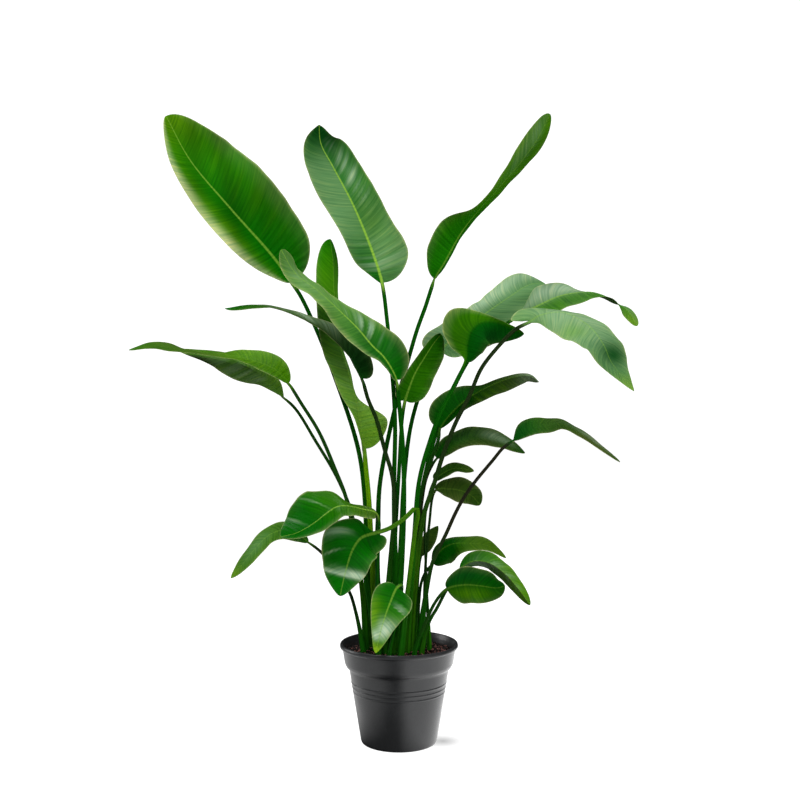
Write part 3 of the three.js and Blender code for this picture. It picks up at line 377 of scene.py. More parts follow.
# How each leaf's colour departs from the deep green. Fresh, dull and olive are the
# shares of light yellow green, waxy grey green and brownish green: one number, a list spread from
# base to tip, or a pair of such lists for the left and the right half. The grey green is partly
# the blade's own wax and partly painted sheen where the top of a blade catches the light. Edge is
# the share of pale yellow at the left and at the right margin, tip how far the blade's last part
# turns yellow, rib how light the midrib is, tone how light the whole blade is, which is painted
# light and shade: below 1 a blade is painted darker as if shaded, above 1 lighter as if lit. Gloss
# is the roughness, skin the name of the material, and stem the share of dark brown on the thin
# stalk, or below 0 that of fresh green. Each patch has its colour, its middle and reach along the
# blade, its middle and reach across it, where -1 and 1 are the margins, its share, and how far the
# veins break it into streaks. Above 1 only the strongest streaks are left. Patches of
# bloom are partly pale wax and partly painted sheen and highlights, and patches of
# shade are painted shade.
FINISHES = {
    "leaf_tall_left": dict(fresh=[0, 0, 0.05, 0.3], edge=[0.4, 0.05], tip=0.1, gloss=0.36, rib=0.5,
        patches=[("fresh", 0.45, 0.4, -0.8, 0.35, 0.6, 0.3),
                 ("bloom", 0.3, 0.25, -1, 0.2, 0.3, 0.2), ("bloom", 0.75, 0.15, -1, 0.2, 0.3, 0.2),
                 ("fresh", 0.55, 0.35, 0.7, 0.5, 0.2, 0.5)]),
    "leaf_tall_middle": dict(dull=([0, 0.3, 0.9, 1, 0.8, 0], [0.5, 0.8, 0.4, 0.1, 0.1, 0]), rib=1,
        gloss=0.4,
        patches=[("bloom", 0.68, 0.2, 0.45, 0.3, 0.6, 0.8), ("bloom", 0.16, 0.1, 0, 0.9, 0.3, 1),
                 ("shade", 0.95, 0.12, 0, 2, 0.8, 0), ("fresh", 0.35, 0.25, 0.4, 0.5, 0.3, 0.5)]),
    "leaf_tall_right": dict(fresh=[0.05, 0.1, 0.4, 0.5], gloss=0.4, tone=1.2,
        patches=[("bloom", 0.85, 0.2, -0.5, 0.6, 0.2, 0.5),
                 ("fresh", 0.6, 0.3, -0.9, 0.3, 0.6, 0.3)]),
    "leaf_narrow": dict(fresh=[1, 1, 0.9, 0.7, 0.5, 0.6, 0.4, 0.1], gloss=0.4, rib=0.3, stem=-1,
        tone=2,
        patches=[("bloom", 0.3, 0.3, 0, 2, 0.12, 0.4), ("shade", 0.62, 0.1, 0, 2, 0.5, 0)]),
    "leaf_diagonal": dict(fresh=[0, 0, 0.2, 0.6, 0.6, 0.4], dull=[0, 0.1, 0.3, 0.3, 0.2],
        edge=[0.15, 0.1], gloss=0.36, rib=0.8,
        patches=[("bloom", 0.35, 0.12, 0.5, 0.35, 0.5, 1), ("bloom", 0.8, 0.2, 0, 0.9, 0.2, 0.4)]),
    "leaf_left_upper": dict(olive=[0.3, 0.7, 0.7, 0.5, 0], gloss=0.45, stem=0.7, rib=0, tone=0.9,
        patches=[("bloom", 0.5, 0.25, 0.6, 0.6, 0.45, 0.6), ("shade", 0.1, 0.25, 0, 2, 0.8, 0)]),
    "leaf_left_lower": dict(fresh=[0.5, 0.6, 0.3, 0.1], olive=[0, 0.3, 0.7, 0.4], gloss=0.42,
        stem=0.4, rib=0.1, tone=1.2),
    "leaf_left_under": dict(fresh=0.4, olive=0.4, gloss=0.45, stem=0.4, rib=0,
        patches=[("bloom", 0.4, 0.3, -0.5, 0.6, 0.2, 0.8)]),
    "leaf_right_round": dict(fresh=([0.25], [0]), rib=0, gloss=0.42, edge=[0.1, 0.02],
        patches=[("shade", 0.6, 0.5, 0.6, 0.6, 0.7, 0)]),
    "leaf_right_middle": dict(olive=[0, 0, 0.5, 1], gloss=0.5, stem=0.4, tone=0.45, rib=0.1,
        patches=[("bloom", 0.95, 0.12, 0, 2, 0.35, 0.2),
                 ("fresh", 0.6, 0.25, 0.8, 0.6, 0.4, 0.8)]),
    "leaf_right_long": dict(fresh=[0.4, 0.4, 0.3, 0, 0.2], dull=[0.3, 0.7, 0.9, 0.9, 0.8], tip=0.3,
        gloss=0.4, rib=0.3, stem=0.8,
        patches=[("bloom", 0.3, 0.3, -0.1, 1.3, 0.4, 0.2), ("fresh", 0.42, 0.1, 0.6, 0.5, 0.5, 0),
                 ("shade", 0.7, 0.12, -0.3, 0.9, 0.95, 0)]),
    "leaf_right_back": dict(dull=([0.6], [0.9]), gloss=0.45, rib=0.3, tone=0.7,
        patches=[("shade", 0.4, 0.4, 0.5, 0.6, 0.45, 0.3),
                 ("bloom", 0.6, 0.5, -0.8, 0.5, 0.5, 0.1)]),
    "leaf_right_tip": dict(fresh=[0.3, 0.3, 0.3, 0.2], dull=([0.7, 0.9, 0.8, 0.4], [0, 0.1, 0.2]),
        tip=0.3, gloss=0.4, rib=0.6,
        patches=[("bloom", 0.3, 0.3, -0.6, 0.5, 0.6, 0.1),
                 ("shade", 0.35, 0.3, 0.5, 0.4, 0.4, 0.9)]),
    "leaf_middle": dict(fresh=[0.1, 0.15, 0.05], gloss=0.4, rib=0.5, tone=0.8),
    "leaf_right_arched": dict(olive=[0, 0.2, 0.4, 0.2], gloss=0.45, stem=0.9, tone=0.5, rib=0,
        patches=[("bloom", 0.7, 0.15, -0.3, 0.5, 0.3, 0.3),
                 ("olive", 0.4, 0.3, 0.8, 0.6, 0.7, 0.3)]),
    "leaf_far_right": dict(olive=[0, 0.5, 0.9, 1], gloss=0.48, stem=1, tone=0.8, rib=0,
        patches=[("bloom", 0.7, 0.2, -0.4, 0.5, 0.25, 0.3), ("shade", 0.1, 0.12, 0, 2, 0.6, 0)]),
    "leaf_small_upper": dict(olive=[0.2, 0.3, 0.6], gloss=0.5, stem=0.6, tone=0.4, rib=0.1),
    "leaf_small_lower": dict(olive=[0.4, 0.5, 0.3], gloss=0.5, stem=0.6, tone=0.3, rib=0.1,
        patches=[("olive", 0.5, 0.2, 0.8, 0.5, 0.8, 0.2)]),
    "leaf_low_right_back": dict(olive=[0, 0, 0.4, 0.6], fresh=[0, 0, 0.4, 0.6], gloss=0.45,
        stem=0.5, tone=0.5, rib=0.1),
    "leaf_low_right_long": dict(fresh=[0, 0.2, 0.6, 0.5], gloss=0.42, stem=0.4, tone=0.8, rib=0.2,
        patches=[("bloom", 0.5, 0.3, 0, 0.6, 0.25, 0.7), ("bark", 1, 0.1, 0, 2, 0.3, 0)]),
    "leaf_low_right_round": dict(gloss=0.4, stem=0.5, tone=0.5, rib=0.15,
        patches=[("fresh", 0.4, 0.4, 0.5, 0.4, 0.35, 0.2),
                 ("shade", 0.3, 0.3, -0.6, 0.4, 0.5, 0)]),
    "leaf_small_back": dict(olive=0.6, gloss=0.5, tone=0.5, rib=0),
    "leaf_low_left_upper": dict(fresh=[0.4, 0.2, 0, 0], olive=[0.7, 0, 0], rib=0.6, gloss=0.3,
        skin="leaf_satin", edge=[0.08, 0.02],
        patches=[("bloom", 0.55, 0.25, 0.6, 0.35, 0.5, 1.7)]),
    "leaf_low_left_far": dict(fresh=[0, 0.3, 0.4, 0.2], olive=0.3, tip=0.2, gloss=0.33, stem=0.8,
        rib=0.2,
        patches=[("dull", 0.6, 0.2, 0.2, 0.8, 0.6, 0.2), ("shade", 0.15, 0.12, 0, 2, 0.5, 0)]),
    "leaf_low_left_front": dict(rib=0.4, gloss=0.3, skin="leaf_satin", stem=-0.35,
        edge=[0.05, 0.02],
        patches=[("bloom", 0.735, 0.02, 0, 3, 0.7, 0), ("bloom", 0.705, 0.045, -0.5, 0.7, 1, 0.1),
                 ("bloom", 0.4, 0.25, 0.7, 0.3, 0.4, 1.6)]),
    "leaf_low_front": dict(fresh=[0, 0.1, 0.5, 0.3], rib=0.5, tip=0.7, gloss=0.3,
        skin="leaf_satin", tone=1.2,
        patches=[("bloom", 0.66, 0.13, -0.3, 0.7, 1, 0), ("fresh", 0.5, 0.2, 0.8, 0.4, 0.9, 0.2),
                 ("bloom", 0.76, 0.07, 0.5, 0.5, 0.9, 0), ("deep", 0.88, 0.05, -0.1, 0.8, 0.95, 0),
                 ("bloom", 0.4, 0.12, -0.5, 0.3, 0.9, 1.7)]),
}


# Blends
DRIFT_WAVES = (0.4, 2.2)
DRIFT_SINES = 4


def smooth(x):
    """0 below 0, 1 above 1, and 3 x squared less 2 x cubed between them."""
    x = np.clip(x, 0, 1)
    return x * x * (3 - 2 * x)


def mix(a, b, share):
    return a + (b - a) * share


def spread(values, t):
    """The value at each t of the Catmull-Rom line through values spread evenly from 0 to 1."""
    v = np.asarray(values, float)
    if len(v) == 1:
        return np.broadcast_to(v[0], t.shape + v.shape[1:]).astype(float)
    v = np.concatenate([[2 * v[0] - v[1]], v, [2 * v[-1] - v[-2]]])
    x = np.clip(t, 0, 1) * (len(v) - 3)
    i = np.minimum(x.astype(int), len(v) - 4)
    u = (x - i).reshape((-1,) + (1,) * (v.ndim - 1))
    a, b, c, d = v[i], v[i + 1], v[i + 2], v[i + 3]
    return 0.5 * (2 * b + (c - a) * u + (2 * a - 5 * b + 4 * c - d) * u**2
                  + (3 * b - a - 3 * c + d) * u**3)


def unit(vectors):
    return vectors / np.linalg.norm(vectors, axis=-1, keepdims=True)


def drift(x, seed):
    """A slow wavering between -1 and 1: the mean of sines of x whose wave numbers and
    phases come from the seed."""
    draw = np.random.default_rng(seed)
    waves = draw.uniform(*DRIFT_WAVES, DRIFT_SINES)
    phases = draw.uniform(0, 2 * math.pi, DRIFT_SINES)
    return np.mean([np.sin(w * x + p) for w, p in zip(waves, phases)], axis=0)


def linear(red, green, blue):
    """A screen colour from 0 to 255 as the light it stands for."""
    c = np.array([red, green, blue]) / 255
    return np.where(c <= 0.04045, c / 12.92, ((c + 0.055) / 1.055) ** 2.4)


# Lines in space
def place(points):
    """Points noted as across, up and near by the eye in front, as X, Y, Z: the point shows at
    across and up on the plane through the pot's axis, and stands near millimetres before it."""
    across, up, near = np.asarray(points, float).T
    share = 1 - near / EYE_DISTANCE
    return np.stack([EYE_ACROSS + (across - EYE_ACROSS) * share, -near,
                     EYE_HEIGHT + (up - EYE_HEIGHT) * share], -1)


def curve_through(points):
    """Many points of the centripetal Catmull-Rom curve: between two points it is the cubic
    whose end slopes come from the neighbours, each span weighted by its length's root."""
    ends = [2 * points[0] - points[1]], points, [2 * points[-1] - points[-2]]
    p = np.concatenate(ends)
    p0, p1, p2, p3 = p[:-3], p[1:-2], p[2:-1], p[3:]
    d0, d1, d2 = (np.sqrt(np.linalg.norm(b - a, axis=1))[:, None]
                  for a, b in ((p0, p1), (p1, p2), (p2, p3)))
    m1 = ((p1 - p0) / d0 - (p2 - p0) / (d0 + d1) + (p2 - p1) / d1) * d1
    m2 = ((p2 - p1) / d1 - (p3 - p1) / (d1 + d2) + (p3 - p2) / d2) * d1
    u = np.arange(LINE_SAMPLES)[:, None, None] / LINE_SAMPLES
    spans = (p1 + m1 * u + (3 * (p2 - p1) - 2 * m1 - m2) * u**2
             + (2 * (p1 - p2) + m1 + m2) * u**3)
    return np.concatenate([spans.transpose(1, 0, 2).reshape(-1, 3), points[-1:]])


def leaf_line(leaf, row_step):
    """The rows of a leaf, about row_step apart: t is 0 down the stalk and the share of the
    blade's length past its base, and the rows crowd toward both ends of the blade. Each has its
    centre, the direction of the line and the face, which is the leaf's own direction there made
    square to the line, and carried back down the stalk without turning about it."""
    line = curve_through(place(leaf["stalk"] + leaf["rib"]))
    lengths = np.concatenate([[0], np.cumsum(np.linalg.norm(np.diff(line, axis=0), axis=1))])
    base = lengths[(len(leaf["stalk"]) - 1) * LINE_SAMPLES]
    end = lengths[-1]
    stalk_rows = int(np.clip(base / (STALK_STEP * row_step), *STALK_ROWS))
    blade_rows = int(np.clip((end - base) / row_step, *BLADE_ROWS))
    q = np.arange(stalk_rows) / stalk_rows
    r = np.arange(blade_rows + 1) / blade_rows
    blade_t = r - ROW_BUNCHING * np.sin(2 * math.pi * r) / (2 * math.pi)
    t = np.concatenate([np.zeros(stalk_rows), blade_t])
    at = np.concatenate([base * (1 - (1 - q) ** STALK_BUNCHING), mix(base, end, blade_t)])

    def point(length):
        length = np.clip(length, 0, end)
        return np.stack([np.interp(length, lengths, line[:, k]) for k in range(3)], -1)

    direction = unit(point(at + TANGENT_STEP) - point(at - TANGENT_STEP))
    face = spread(leaf.get("face", TOWARD_EYE), t)
    face = unit(face - (face * direction).sum(1)[:, None] * direction)
    for i in range(stalk_rows - 1, -1, -1):
        face[i] = unit(face[i + 1] - face[i + 1].dot(direction[i]) * direction[i])
    return dict(t=t, centre=point(at), direction=direction, face=face,
                from_base=at - base, share=np.minimum(at / base, 1))


def rounded_ends(ends, t):
    """The share of a half's width at t: a quarter circle at the base, and at the tip 1 less the
    square of the way into the rounded part, to a power."""
    base_share, tip_share, power = ends
    low = np.clip(1 - t / base_share, 0, 1)
    high = np.clip((t - 1 + tip_share) / tip_share, 0, 1)
    return np.sqrt(1 - low**2) * (1 - high**2) ** power


def leaf_surface(leaf, number, look):
    """One leaf as a grid of rows by ring points, the upper side from left to right and then the
    underside back, with what its colours need at each point.

    A point lies on its half's straight rise from the face, out millimetres from the midrib. The
    margin waves along the face as a sine of t times the square of u, the share of the half's
    width, and the lobes sweep back past the base. Pleats are a sine of the vein's own place along
    the midrib, where a vein leaves the midrib at a slant that grows from base to tip. The stalk
    is an oval with a channel, and blends into the blade over the neck's length."""
    line = leaf_line(leaf, look.row_step * TO_MM)
    t, direction, face = line["t"], line["direction"], line["face"]
    side = np.cross(direction, face)
    foot, neck = leaf["size"]
    sheath = mix(1 - line["share"], 1 - smooth(line["share"] / SHEATH_SHARE), SHEATH_WEIGHT)
    stalk = np.where(t > 0, neck * (1 - SHEATH_WEIGHT * t), neck + (foot - neck) * sheath)
    blade_share = smooth((line["from_base"] + NECK_LENGTH) / NECK_LENGTH)
    rib = np.maximum(neck * (1 - RIB_TAPER * t), NARROWEST_RIB)
    rounding = np.where(t > 0, rounded_ends(leaf["ends"], t), 0)
    rises = [np.radians(spread(leaf[half]["rise"], t)) * blade_share
             for half in ("left", "right")]
    lean = (rises[0] - rises[1]) / 2
    wave_height, wave_count = leaf["wave"]
    columns = len(RIB_COLUMNS) + len(BLADE_COLUMNS) - 1
    shape = (len(t), 2 * columns + 1)
    upper, lower = np.zeros(shape + (3,)), np.zeros(shape + (3,))
    out_map, vein_map, edge_map, rib_map = (np.zeros(shape) for _ in range(4))
    for sign, half, rise, lobe in ((-1, "left", rises[0], leaf["lobes"][0]),
                                   (1, "right", rises[1], leaf["lobes"][1])):
        full = spread(leaf[half]["width"], t) * rounding
        ripple = drift(line["from_base"] / look.ripple_length / TO_MM * math.pi,
                       10 * number + sign + 1)
        full = full * (1 + look.margin_wander * ripple)
        width = np.where(t > TIP_FROM, np.maximum(full, NARROWEST_TIP), np.hypot(stalk, full))
        inner = np.minimum(rib, width / 3)
        rib_part = inner[:, None] * np.array(RIB_COLUMNS)
        blade_part = mix(inner[:, None], width[:, None], np.array(BLADE_COLUMNS))
        out = np.concatenate([rib_part, blade_part], 1)
        u = out / width[:, None]
        row = t[:, None]
        swing = 2 * math.pi * wave_count * row + (LEFT_WAVE_LAG if sign < 0 else 0)
        wave = wave_height * np.sin(swing) * u**2 * np.sqrt(np.sin(math.pi * row).clip(0))
        slant = mix(look.slant_at_base, look.slant_at_tip, row**VEIN_TURN)
        vein = line["from_base"][:, None] - slant * out * (1 + VEIN_BEND * u)
        wander = (drift(vein / LONG_WANDER, SEED["long_wander"] + number) * LONG_WANDER_REACH
                  + drift(vein / SHORT_WANDER, SEED["short_wander"] + number))
        pleat = np.sin(2 * math.pi * (vein + wander) / (look.pleat_spacing * TO_MM))
        on_blade = ((row > 0) * smooth(out / PLEATS_FROM_RIB)
                    * smooth((1 - u) / PLEATS_FADE + PLEATS_AT_MARGIN))
        strength = PLEAT_STRENGTH + PLEAT_CHANGE * drift(
            vein / PLEAT_PATCH[0] + out / PLEAT_PATCH[1], SEED["pleats"] + number)
        relief = look.pleat_height * TO_MM * pleat * on_blade * strength
        relief = relief + look.ripple_height * TO_MM * ripple[:, None] * u**3 * (row > 0)
        relief = relief * np.minimum(1, RELIEF_END * (1 - row)) ** 0.5
        back = lobe * rounding[:, None] * u**2 * np.clip(1 - row / LOBE_REACH, 0, 1) ** 2
        tilt = np.where(u > 0, rise[:, None], -sign * lean[:, None])
        cosine, sine = np.cos(tilt), np.sin(tilt)
        normal = face[:, None] * cosine[..., None] - side[:, None] * (sign * sine)[..., None]
        lift = wave * (rounding > 0)[:, None]
        middle = (line["centre"][:, None]
                  + side[:, None] * (sign * out * np.cos(rise)[:, None])[..., None]
                  + face[:, None] * (out * np.sin(rise)[:, None] + lift)[..., None]
                  - direction[:, None] * back[..., None]
                  + normal * relief[..., None])
        oval = STALK_FLATNESS * stalk[:, None] * np.sqrt(1 - STALK_ROUNDNESS * u**2)
        channel = (CHANNEL_DEPTH * STALK_FLATNESS * stalk[:, None]
                   * np.clip(1 - CHANNEL_NARROWING * u**2, 0, 1))
        over_rib = np.clip(1 - (out / rib[:, None]) ** 2, 0, 1)
        bulge = STALK_FLATNESS * rib[:, None] * over_rib
        sheet = look.blade_thickness * TO_MM / 2 * np.sqrt(1 - MARGIN_THINNING * u**6)
        share = blade_share[:, None]
        above = mix(oval - channel, sheet + RIB_SHOWN_ABOVE * bulge, share)
        below = mix(oval, sheet + bulge, share)
        at = columns + sign * np.arange(columns + 1)
        upper[:, at] = middle + normal * above[..., None]
        lower[:, at] = middle - normal * below[..., None]
        out_map[:, at] = sign * out
        vein_map[:, at] = vein
        edge_map[:, at] = u
        rib_map[:, at] = over_rib
    ring = np.concatenate([upper, lower[:, ::-1]], 1)

    def around(values):
        return np.concatenate([values, values[:, ::-1]], 1)

    under = np.zeros(ring.shape[:2])
    under[:, 2 * columns + 1:] = 1
    return ring, dict(out=around(out_map), vein=around(vein_map), u=around(edge_map),
                      rib=around(rib_map), under=under, t=np.broadcast_to(t[:, None], under.shape),
                      share=np.broadcast_to(line["share"][:, None], under.shape),
                      blade=np.broadcast_to(blade_share[:, None], under.shape))


def painted(value, t, across):
    """A finish's share at each point: a number, a list spread over t, or a pair of them for the
    left and the right half, which meet over the midrib."""
    if isinstance(value, tuple):
        left, right = (painted(one, t, across) for one in value)
        return mix(left, right, smooth(across / HALVES_MEET + 0.5))
    if isinstance(value, list):
        return spread(value, t.ravel()).reshape(t.shape)
    return value


def leaf_wash(grid, finish, colours, number):
    """The slowly changing colour of a leaf at each point: the deep green, lightened and darkened
    as a whole by the finish's tone, which is painted light and shade, turned fresh, waxy grey
    green and olive as the leaf's finish says, where the grey green is partly painted sheen, darker
    and lighter by a slow drift, with patches of other colours, among them pale wax with painted
    sheen and highlights and painted shade, pale at the margins and the tip, with the light midrib,
    the underside and the stalk, which lightens to the soil."""
    t, u, out, vein = (grid[k][..., None] for k in ("t", "u", "out", "vein"))
    edges = finish.get("edge", EDGES)

    def leaf_drift(x, use):
        return drift(x, SEED[use] + number)

    blotch = (leaf_drift(t * BLOTCH_WAVES + out / BLOTCH_ACROSS, "blotch") + FINE_BLOTCH_SHARE
              * leaf_drift(vein / FINE_BLOTCH[0] - out / FINE_BLOTCH[1], "fine_blotch"))
    # The finish's tone paints light and shade over the whole blade: darker as if shaded, lighter
    # as if lit.
    green = colours["deep"] * (1 + BLOTCH_STRENGTH * blotch) * finish.get("tone", 1)
    # The waxy grey green is partly painted sheen where the top of a blade catches the light.
    for name in ("fresh", "dull", "olive"):
        share = painted(finish.get(name, 0), t, out) * (1 + BLOTCH_STRENGTH * blotch)
        green = mix(green, colours[name], np.clip(share, 0, 1))
    streak = leaf_drift(vein / STREAKS[0], "streak") + leaf_drift(vein / STREAKS[1], "fine_streak")
    # Patches of other colours: pale wax with painted sheen and highlights, painted shade, and the
    # blade's own fresh, olive and brown.
    for name, middle, reach, across, breadth, share, broken in finish.get("patches", ()):
        patch = np.exp(-((t - middle) / reach) ** 2 - ((np.sign(out) * u - across) / breadth) ** 2)
        streaked = smooth(streak * STREAK_CONTRAST + STREAK_LIFT)
        patch = patch * mix(1, streaked, min(broken, 1))
        if broken > 1:
            patch = patch * smooth(STRONG_STREAK_CONTRAST * (streak - broken + 1) + 1)
        green = mix(green, colours[name], np.clip(share * patch, 0, 1))
    edge = np.where(out < 0, *edges) * (1 + EDGE_CHANGE * leaf_drift(vein / EDGE_PATCH, "edge"))
    green = mix(green, colours["pale"], edge * smooth((u - EDGE_FROM) / EDGE_FROM) ** EDGE_POWER)
    green = mix(green, colours["pale"], LINE_SHARE * smooth((u - LINE_FROM) / LINE_WIDTH))
    turned = smooth((t - TIP_TURNS_AT) / TIP_TURNS_OVER)
    green = mix(green, colours["yellow"], finish.get("tip", 0) * turned)
    rib = smooth(grid["rib"][..., None] * RIB_SPREAD)
    upper = mix(green, colours["rib"], rib * finish.get("rib", RIB_LIGHT))
    lower = mix(green, colours["under"], UNDERSIDE_SHARE)
    lower = mix(lower, colours["olive"], rib * UNDERSIDE_RIB)
    blade = mix(upper, lower, grid["under"][..., None])
    share = grid["share"][..., None]
    stem = finish.get("stem", 0)
    high = mix(colours["stalk_high"], colours["fresh" if stem < 0 else "bark"], abs(stem))
    fresh = SHEATH_FRESH * leaf_drift(share * SHEATH_WAVES, "sheath").clip(0)
    low = mix(colours["stalk_low"], colours["fresh"], fresh)
    stalk = mix(low, high, smooth((share - STALK_TURNS_AT) / STALK_TURNS_OVER))
    return np.clip(mix(stalk, blade, grid["blade"][..., None]), 0, 1)


# Meshes
def add_mesh(name, vertices, quads, material, smooth_faces=True):
    """A mesh object at the origin, from vertices in millimetres and an array of faces."""
    mesh = bpy.data.meshes.new(name)
    corners = quads.shape[1]
    mesh.vertices.add(len(vertices))
    mesh.vertices.foreach_set("co", (vertices * MM).astype(np.float32).ravel())
    mesh.loops.add(quads.size)
    mesh.loops.foreach_set("vertex_index", quads.astype(np.int32).ravel())
    mesh.polygons.add(len(quads))
    mesh.polygons.foreach_set("loop_start", np.arange(0, quads.size, corners, dtype=np.int32))
    mesh.polygons.foreach_set("use_smooth", np.full(len(quads), smooth_faces))
    mesh.materials.append(material)
    mesh.update(calc_edges=True)
    piece = bpy.data.objects.new(name, mesh)
    bpy.context.scene.collection.objects.link(piece)
    return piece


def add_uv(piece, name, points):
    """A UV map whose value at each corner is that of the corner's vertex."""
    mesh = piece.data
    corners = np.zeros(len(mesh.loops), np.int32)
    mesh.loops.foreach_get("vertex_index", corners)
    layer = mesh.uv_layers.new(name=name)
    layer.uv.foreach_set("vector", points.reshape(-1, 2)[corners].astype(np.float32).ravel())


def add_wash(piece, colours, gloss=1):
    """The colour at each point that the materials read, with the gloss as its alpha."""
    rgb = colours.reshape(-1, 3)
    alpha = np.broadcast_to(np.reshape(gloss, (-1, 1)), (len(rgb), 1))
    layer = piece.data.color_attributes.new(name="wash", type="FLOAT_COLOR", domain="POINT")
    layer.data.foreach_set("color", np.concatenate([rgb, alpha], 1).astype(np.float32).ravel())


def skin_faces(rows, around):
    """The faces between rings of points. They look outward if the rings run anticlockwise as
    seen from the last one."""
    row, k = np.meshgrid(np.arange(rows - 1), np.arange(around), indexing="ij")
    a = row * around + k
    b = row * around + (k + 1) % around
    return np.stack([a, b, b + around, a + around], -1).reshape(-1, 4)


def ring_faces(rows, around):
    """The faces of a leaf's closed skin, with both end rings closed by faces from the upper
    side to the underside."""
    j = np.arange(around // 2 - 1)
    foot = np.stack([j, around - 1 - j, around - 2 - j, j + 1], -1)
    tip = np.stack([j, j + 1, around - 2 - j, around - 1 - j], -1) + (rows - 1) * around
    return np.concatenate([skin_faces(rows, around), foot, tip])


def circle(count, turn=0):
    """Points spread evenly round a circle of radius 1, from turn steps past its start."""
    angle = 2 * math.pi * (np.arange(count) + turn) / count
    return np.stack([np.cos(angle), np.sin(angle)], -1)


def turned_points(profile, sides):
    """Each [radius, height] of the profile carried round Z."""
    radius, height = np.asarray(profile, float).T[..., None]
    x, y = circle(sides).T
    return np.stack([radius * x, radius * y, height + 0 * x], -1).reshape(-1, 3)


def turned_solid(rings, sides, low, high):
    """The points and triangles of a solid turned about Z. Its rings of points start at the
    middle of its underside and run up the outside, and the first and the last one are closed
    by fans to the middle, at the heights low and high."""
    k = np.arange(sides)
    n = np.roll(k, -1)
    last = len(rings) - sides
    middle = np.full(sides, len(rings))
    faces = skin_faces(len(rings) // sides, sides)
    triangles = np.concatenate([
        faces[:, [0, 1, 2]], faces[:, [0, 2, 3]],
        np.stack([n, k, middle], -1), np.stack([k + last, n + last, middle + 1], -1)])
    return np.concatenate([rings, [[0, 0, low], [0, 0, high]]]), triangles


CORNER_STEPS = 4
MOST_OF_SIDE = 0.49


def rounded(profile):
    """A profile of [radius, height, rounding]: each corner becomes the quadratic curve from
    rounding millimetres before it to rounding millimetres past it, with the corner between."""
    p = np.asarray(profile, float)
    corner, cut = p[:, :2], p[:, 2]
    line = [corner[0]]
    for before, here, after, radius in zip(corner[:-2], corner[1:-1], corner[2:], cut[1:-1]):
        if radius <= 0:
            line.append(here)
            continue
        start, end = (
            here + (far - here) * min(radius / np.linalg.norm(far - here), MOST_OF_SIDE)
            for far in (before, after))
        s = np.linspace(0, 1, CORNER_STEPS + 1)[:, None]
        line.extend((1 - s) ** 2 * start + 2 * s * (1 - s) * here + s**2 * end)
    line.append(corner[-1])
    return np.array(line)


# Materials. A noise has its scale, detail and roughness. What is shown of a noise is the range
# of its values that counts, and what that range turns into.
VEIN_STREAKS = (1.1, 26, 1)
VEIN_HAIRS = (2.5, 90, 1)
LEAF_CELLS = (60, 90, 1)
BRIGHT_TINT = (2.8, 1.75, 1.5)
DARK_TINT = (0.72, 0.8, 0.78)
DARK_STREAKS = (0.35, 0.5)
BRIGHT_STREAKS = (0.54, 0.78, 0, 0.35)
BRIGHT_HAIRS = (0.55, 0.75, 0, 0.3)
ROUGH_CELLS = (0.3, 0.7, -1, 1)
CELL_ROUGHNESS = 0.05
VEIN_BUMP = 0.6
POT_GRAIN = (900, 3, 0.6)
POT_DUST = (18, 5, 0.65)
MOULD_RINGS = (3, 3, 420)
DUST_GAIN = 1.6
DUST_LIFT = 0.006
DUST_SHOWN = (0.45, 0.75, 0, 0.45)
GRAIN_SHOWN = (0.5, 0.75, 0, 0.3)
DUST_ROUGH = (0.3, 0.75)
DUST_ROUGHNESS = (-0.05, 0.08)
MOULD_RING_SHARE = 0.6
POT_RELIEF = 0.00012
SOIL_GRAIN = (700, 4, 0.65)
MOIST_TINT = (0.35, 0.33, 0.33)
MOIST_SHOWN = (0.35, 0.65)
SOIL_ROUGH = (0.3, 0.7, 0.95, 0.6)
SOIL_RELIEF = 0.0015


def new_material(name, **sockets):
    """A material with a Principled shader whose named sockets hold these constants."""
    material = bpy.data.materials.new(name)
    material.use_nodes = True
    shader = material.node_tree.nodes["Principled BSDF"]
    for socket, value in sockets.items():
        shader.inputs[socket.replace("_", " ")].default_value = value
    return material, material.node_tree, shader


def add_node(tree, kind, inputs=None, **settings):
    """A shader node with its settings, and its inputs linked to sockets or set to values."""
    node = tree.nodes.new("ShaderNode" + kind)
    for name, value in settings.items():
        setattr(node, name, value)
    for socket, value in (inputs or {}).items():
        if isinstance(value, bpy.types.NodeSocket):
            tree.links.new(value, node.inputs[socket])
        else:
            node.inputs[socket].default_value = value
    return node


def add_noise(tree, vector, scale, detail, roughness=0.5):
    return add_node(tree, "TexNoise", {
        "Vector": vector, "Scale": scale, "Detail": detail, "Roughness": roughness,
    }).outputs["Fac"]


def add_range(tree, value, low, high, to_low=0.0, to_high=1.0):
    return add_node(tree, "MapRange", {
        "Value": value, "From Min": low, "From Max": high, "To Min": to_low, "To Max": to_high,
    }).outputs["Result"]


def add_stretch(tree, vector, scale):
    return add_node(tree, "Mapping", {"Vector": vector, "Scale": scale}).outputs["Vector"]


def add_mix(tree, share, first, second):
    return add_node(tree, "Mix", {0: share, 6: first, 7: second}, data_type="RGBA").outputs[2]


def add_tint(tree, colour, red, green, blue):
    return add_node(tree, "MixRGB", {
        "Fac": 1, "Color1": colour, "Color2": (red, green, blue, 1),
    }, blend_type="MULTIPLY").outputs["Color"]


def add_sum(tree, first, second, factor):
    return add_node(tree, "Math", {0: second, 1: factor, 2: first},
                    operation="MULTIPLY_ADD").outputs[0]


def add_bump(tree, height, distance, strength=1.0):
    return add_node(tree, "Bump", {
        "Height": height, "Distance": distance, "Strength": strength}).outputs["Normal"]


def link_sockets(shader, **outputs):
    """Links each output to the shader's input of that name."""
    for socket, output in outputs.items():
        shader.id_data.links.new(output, shader.inputs[socket.replace("_", " ")])


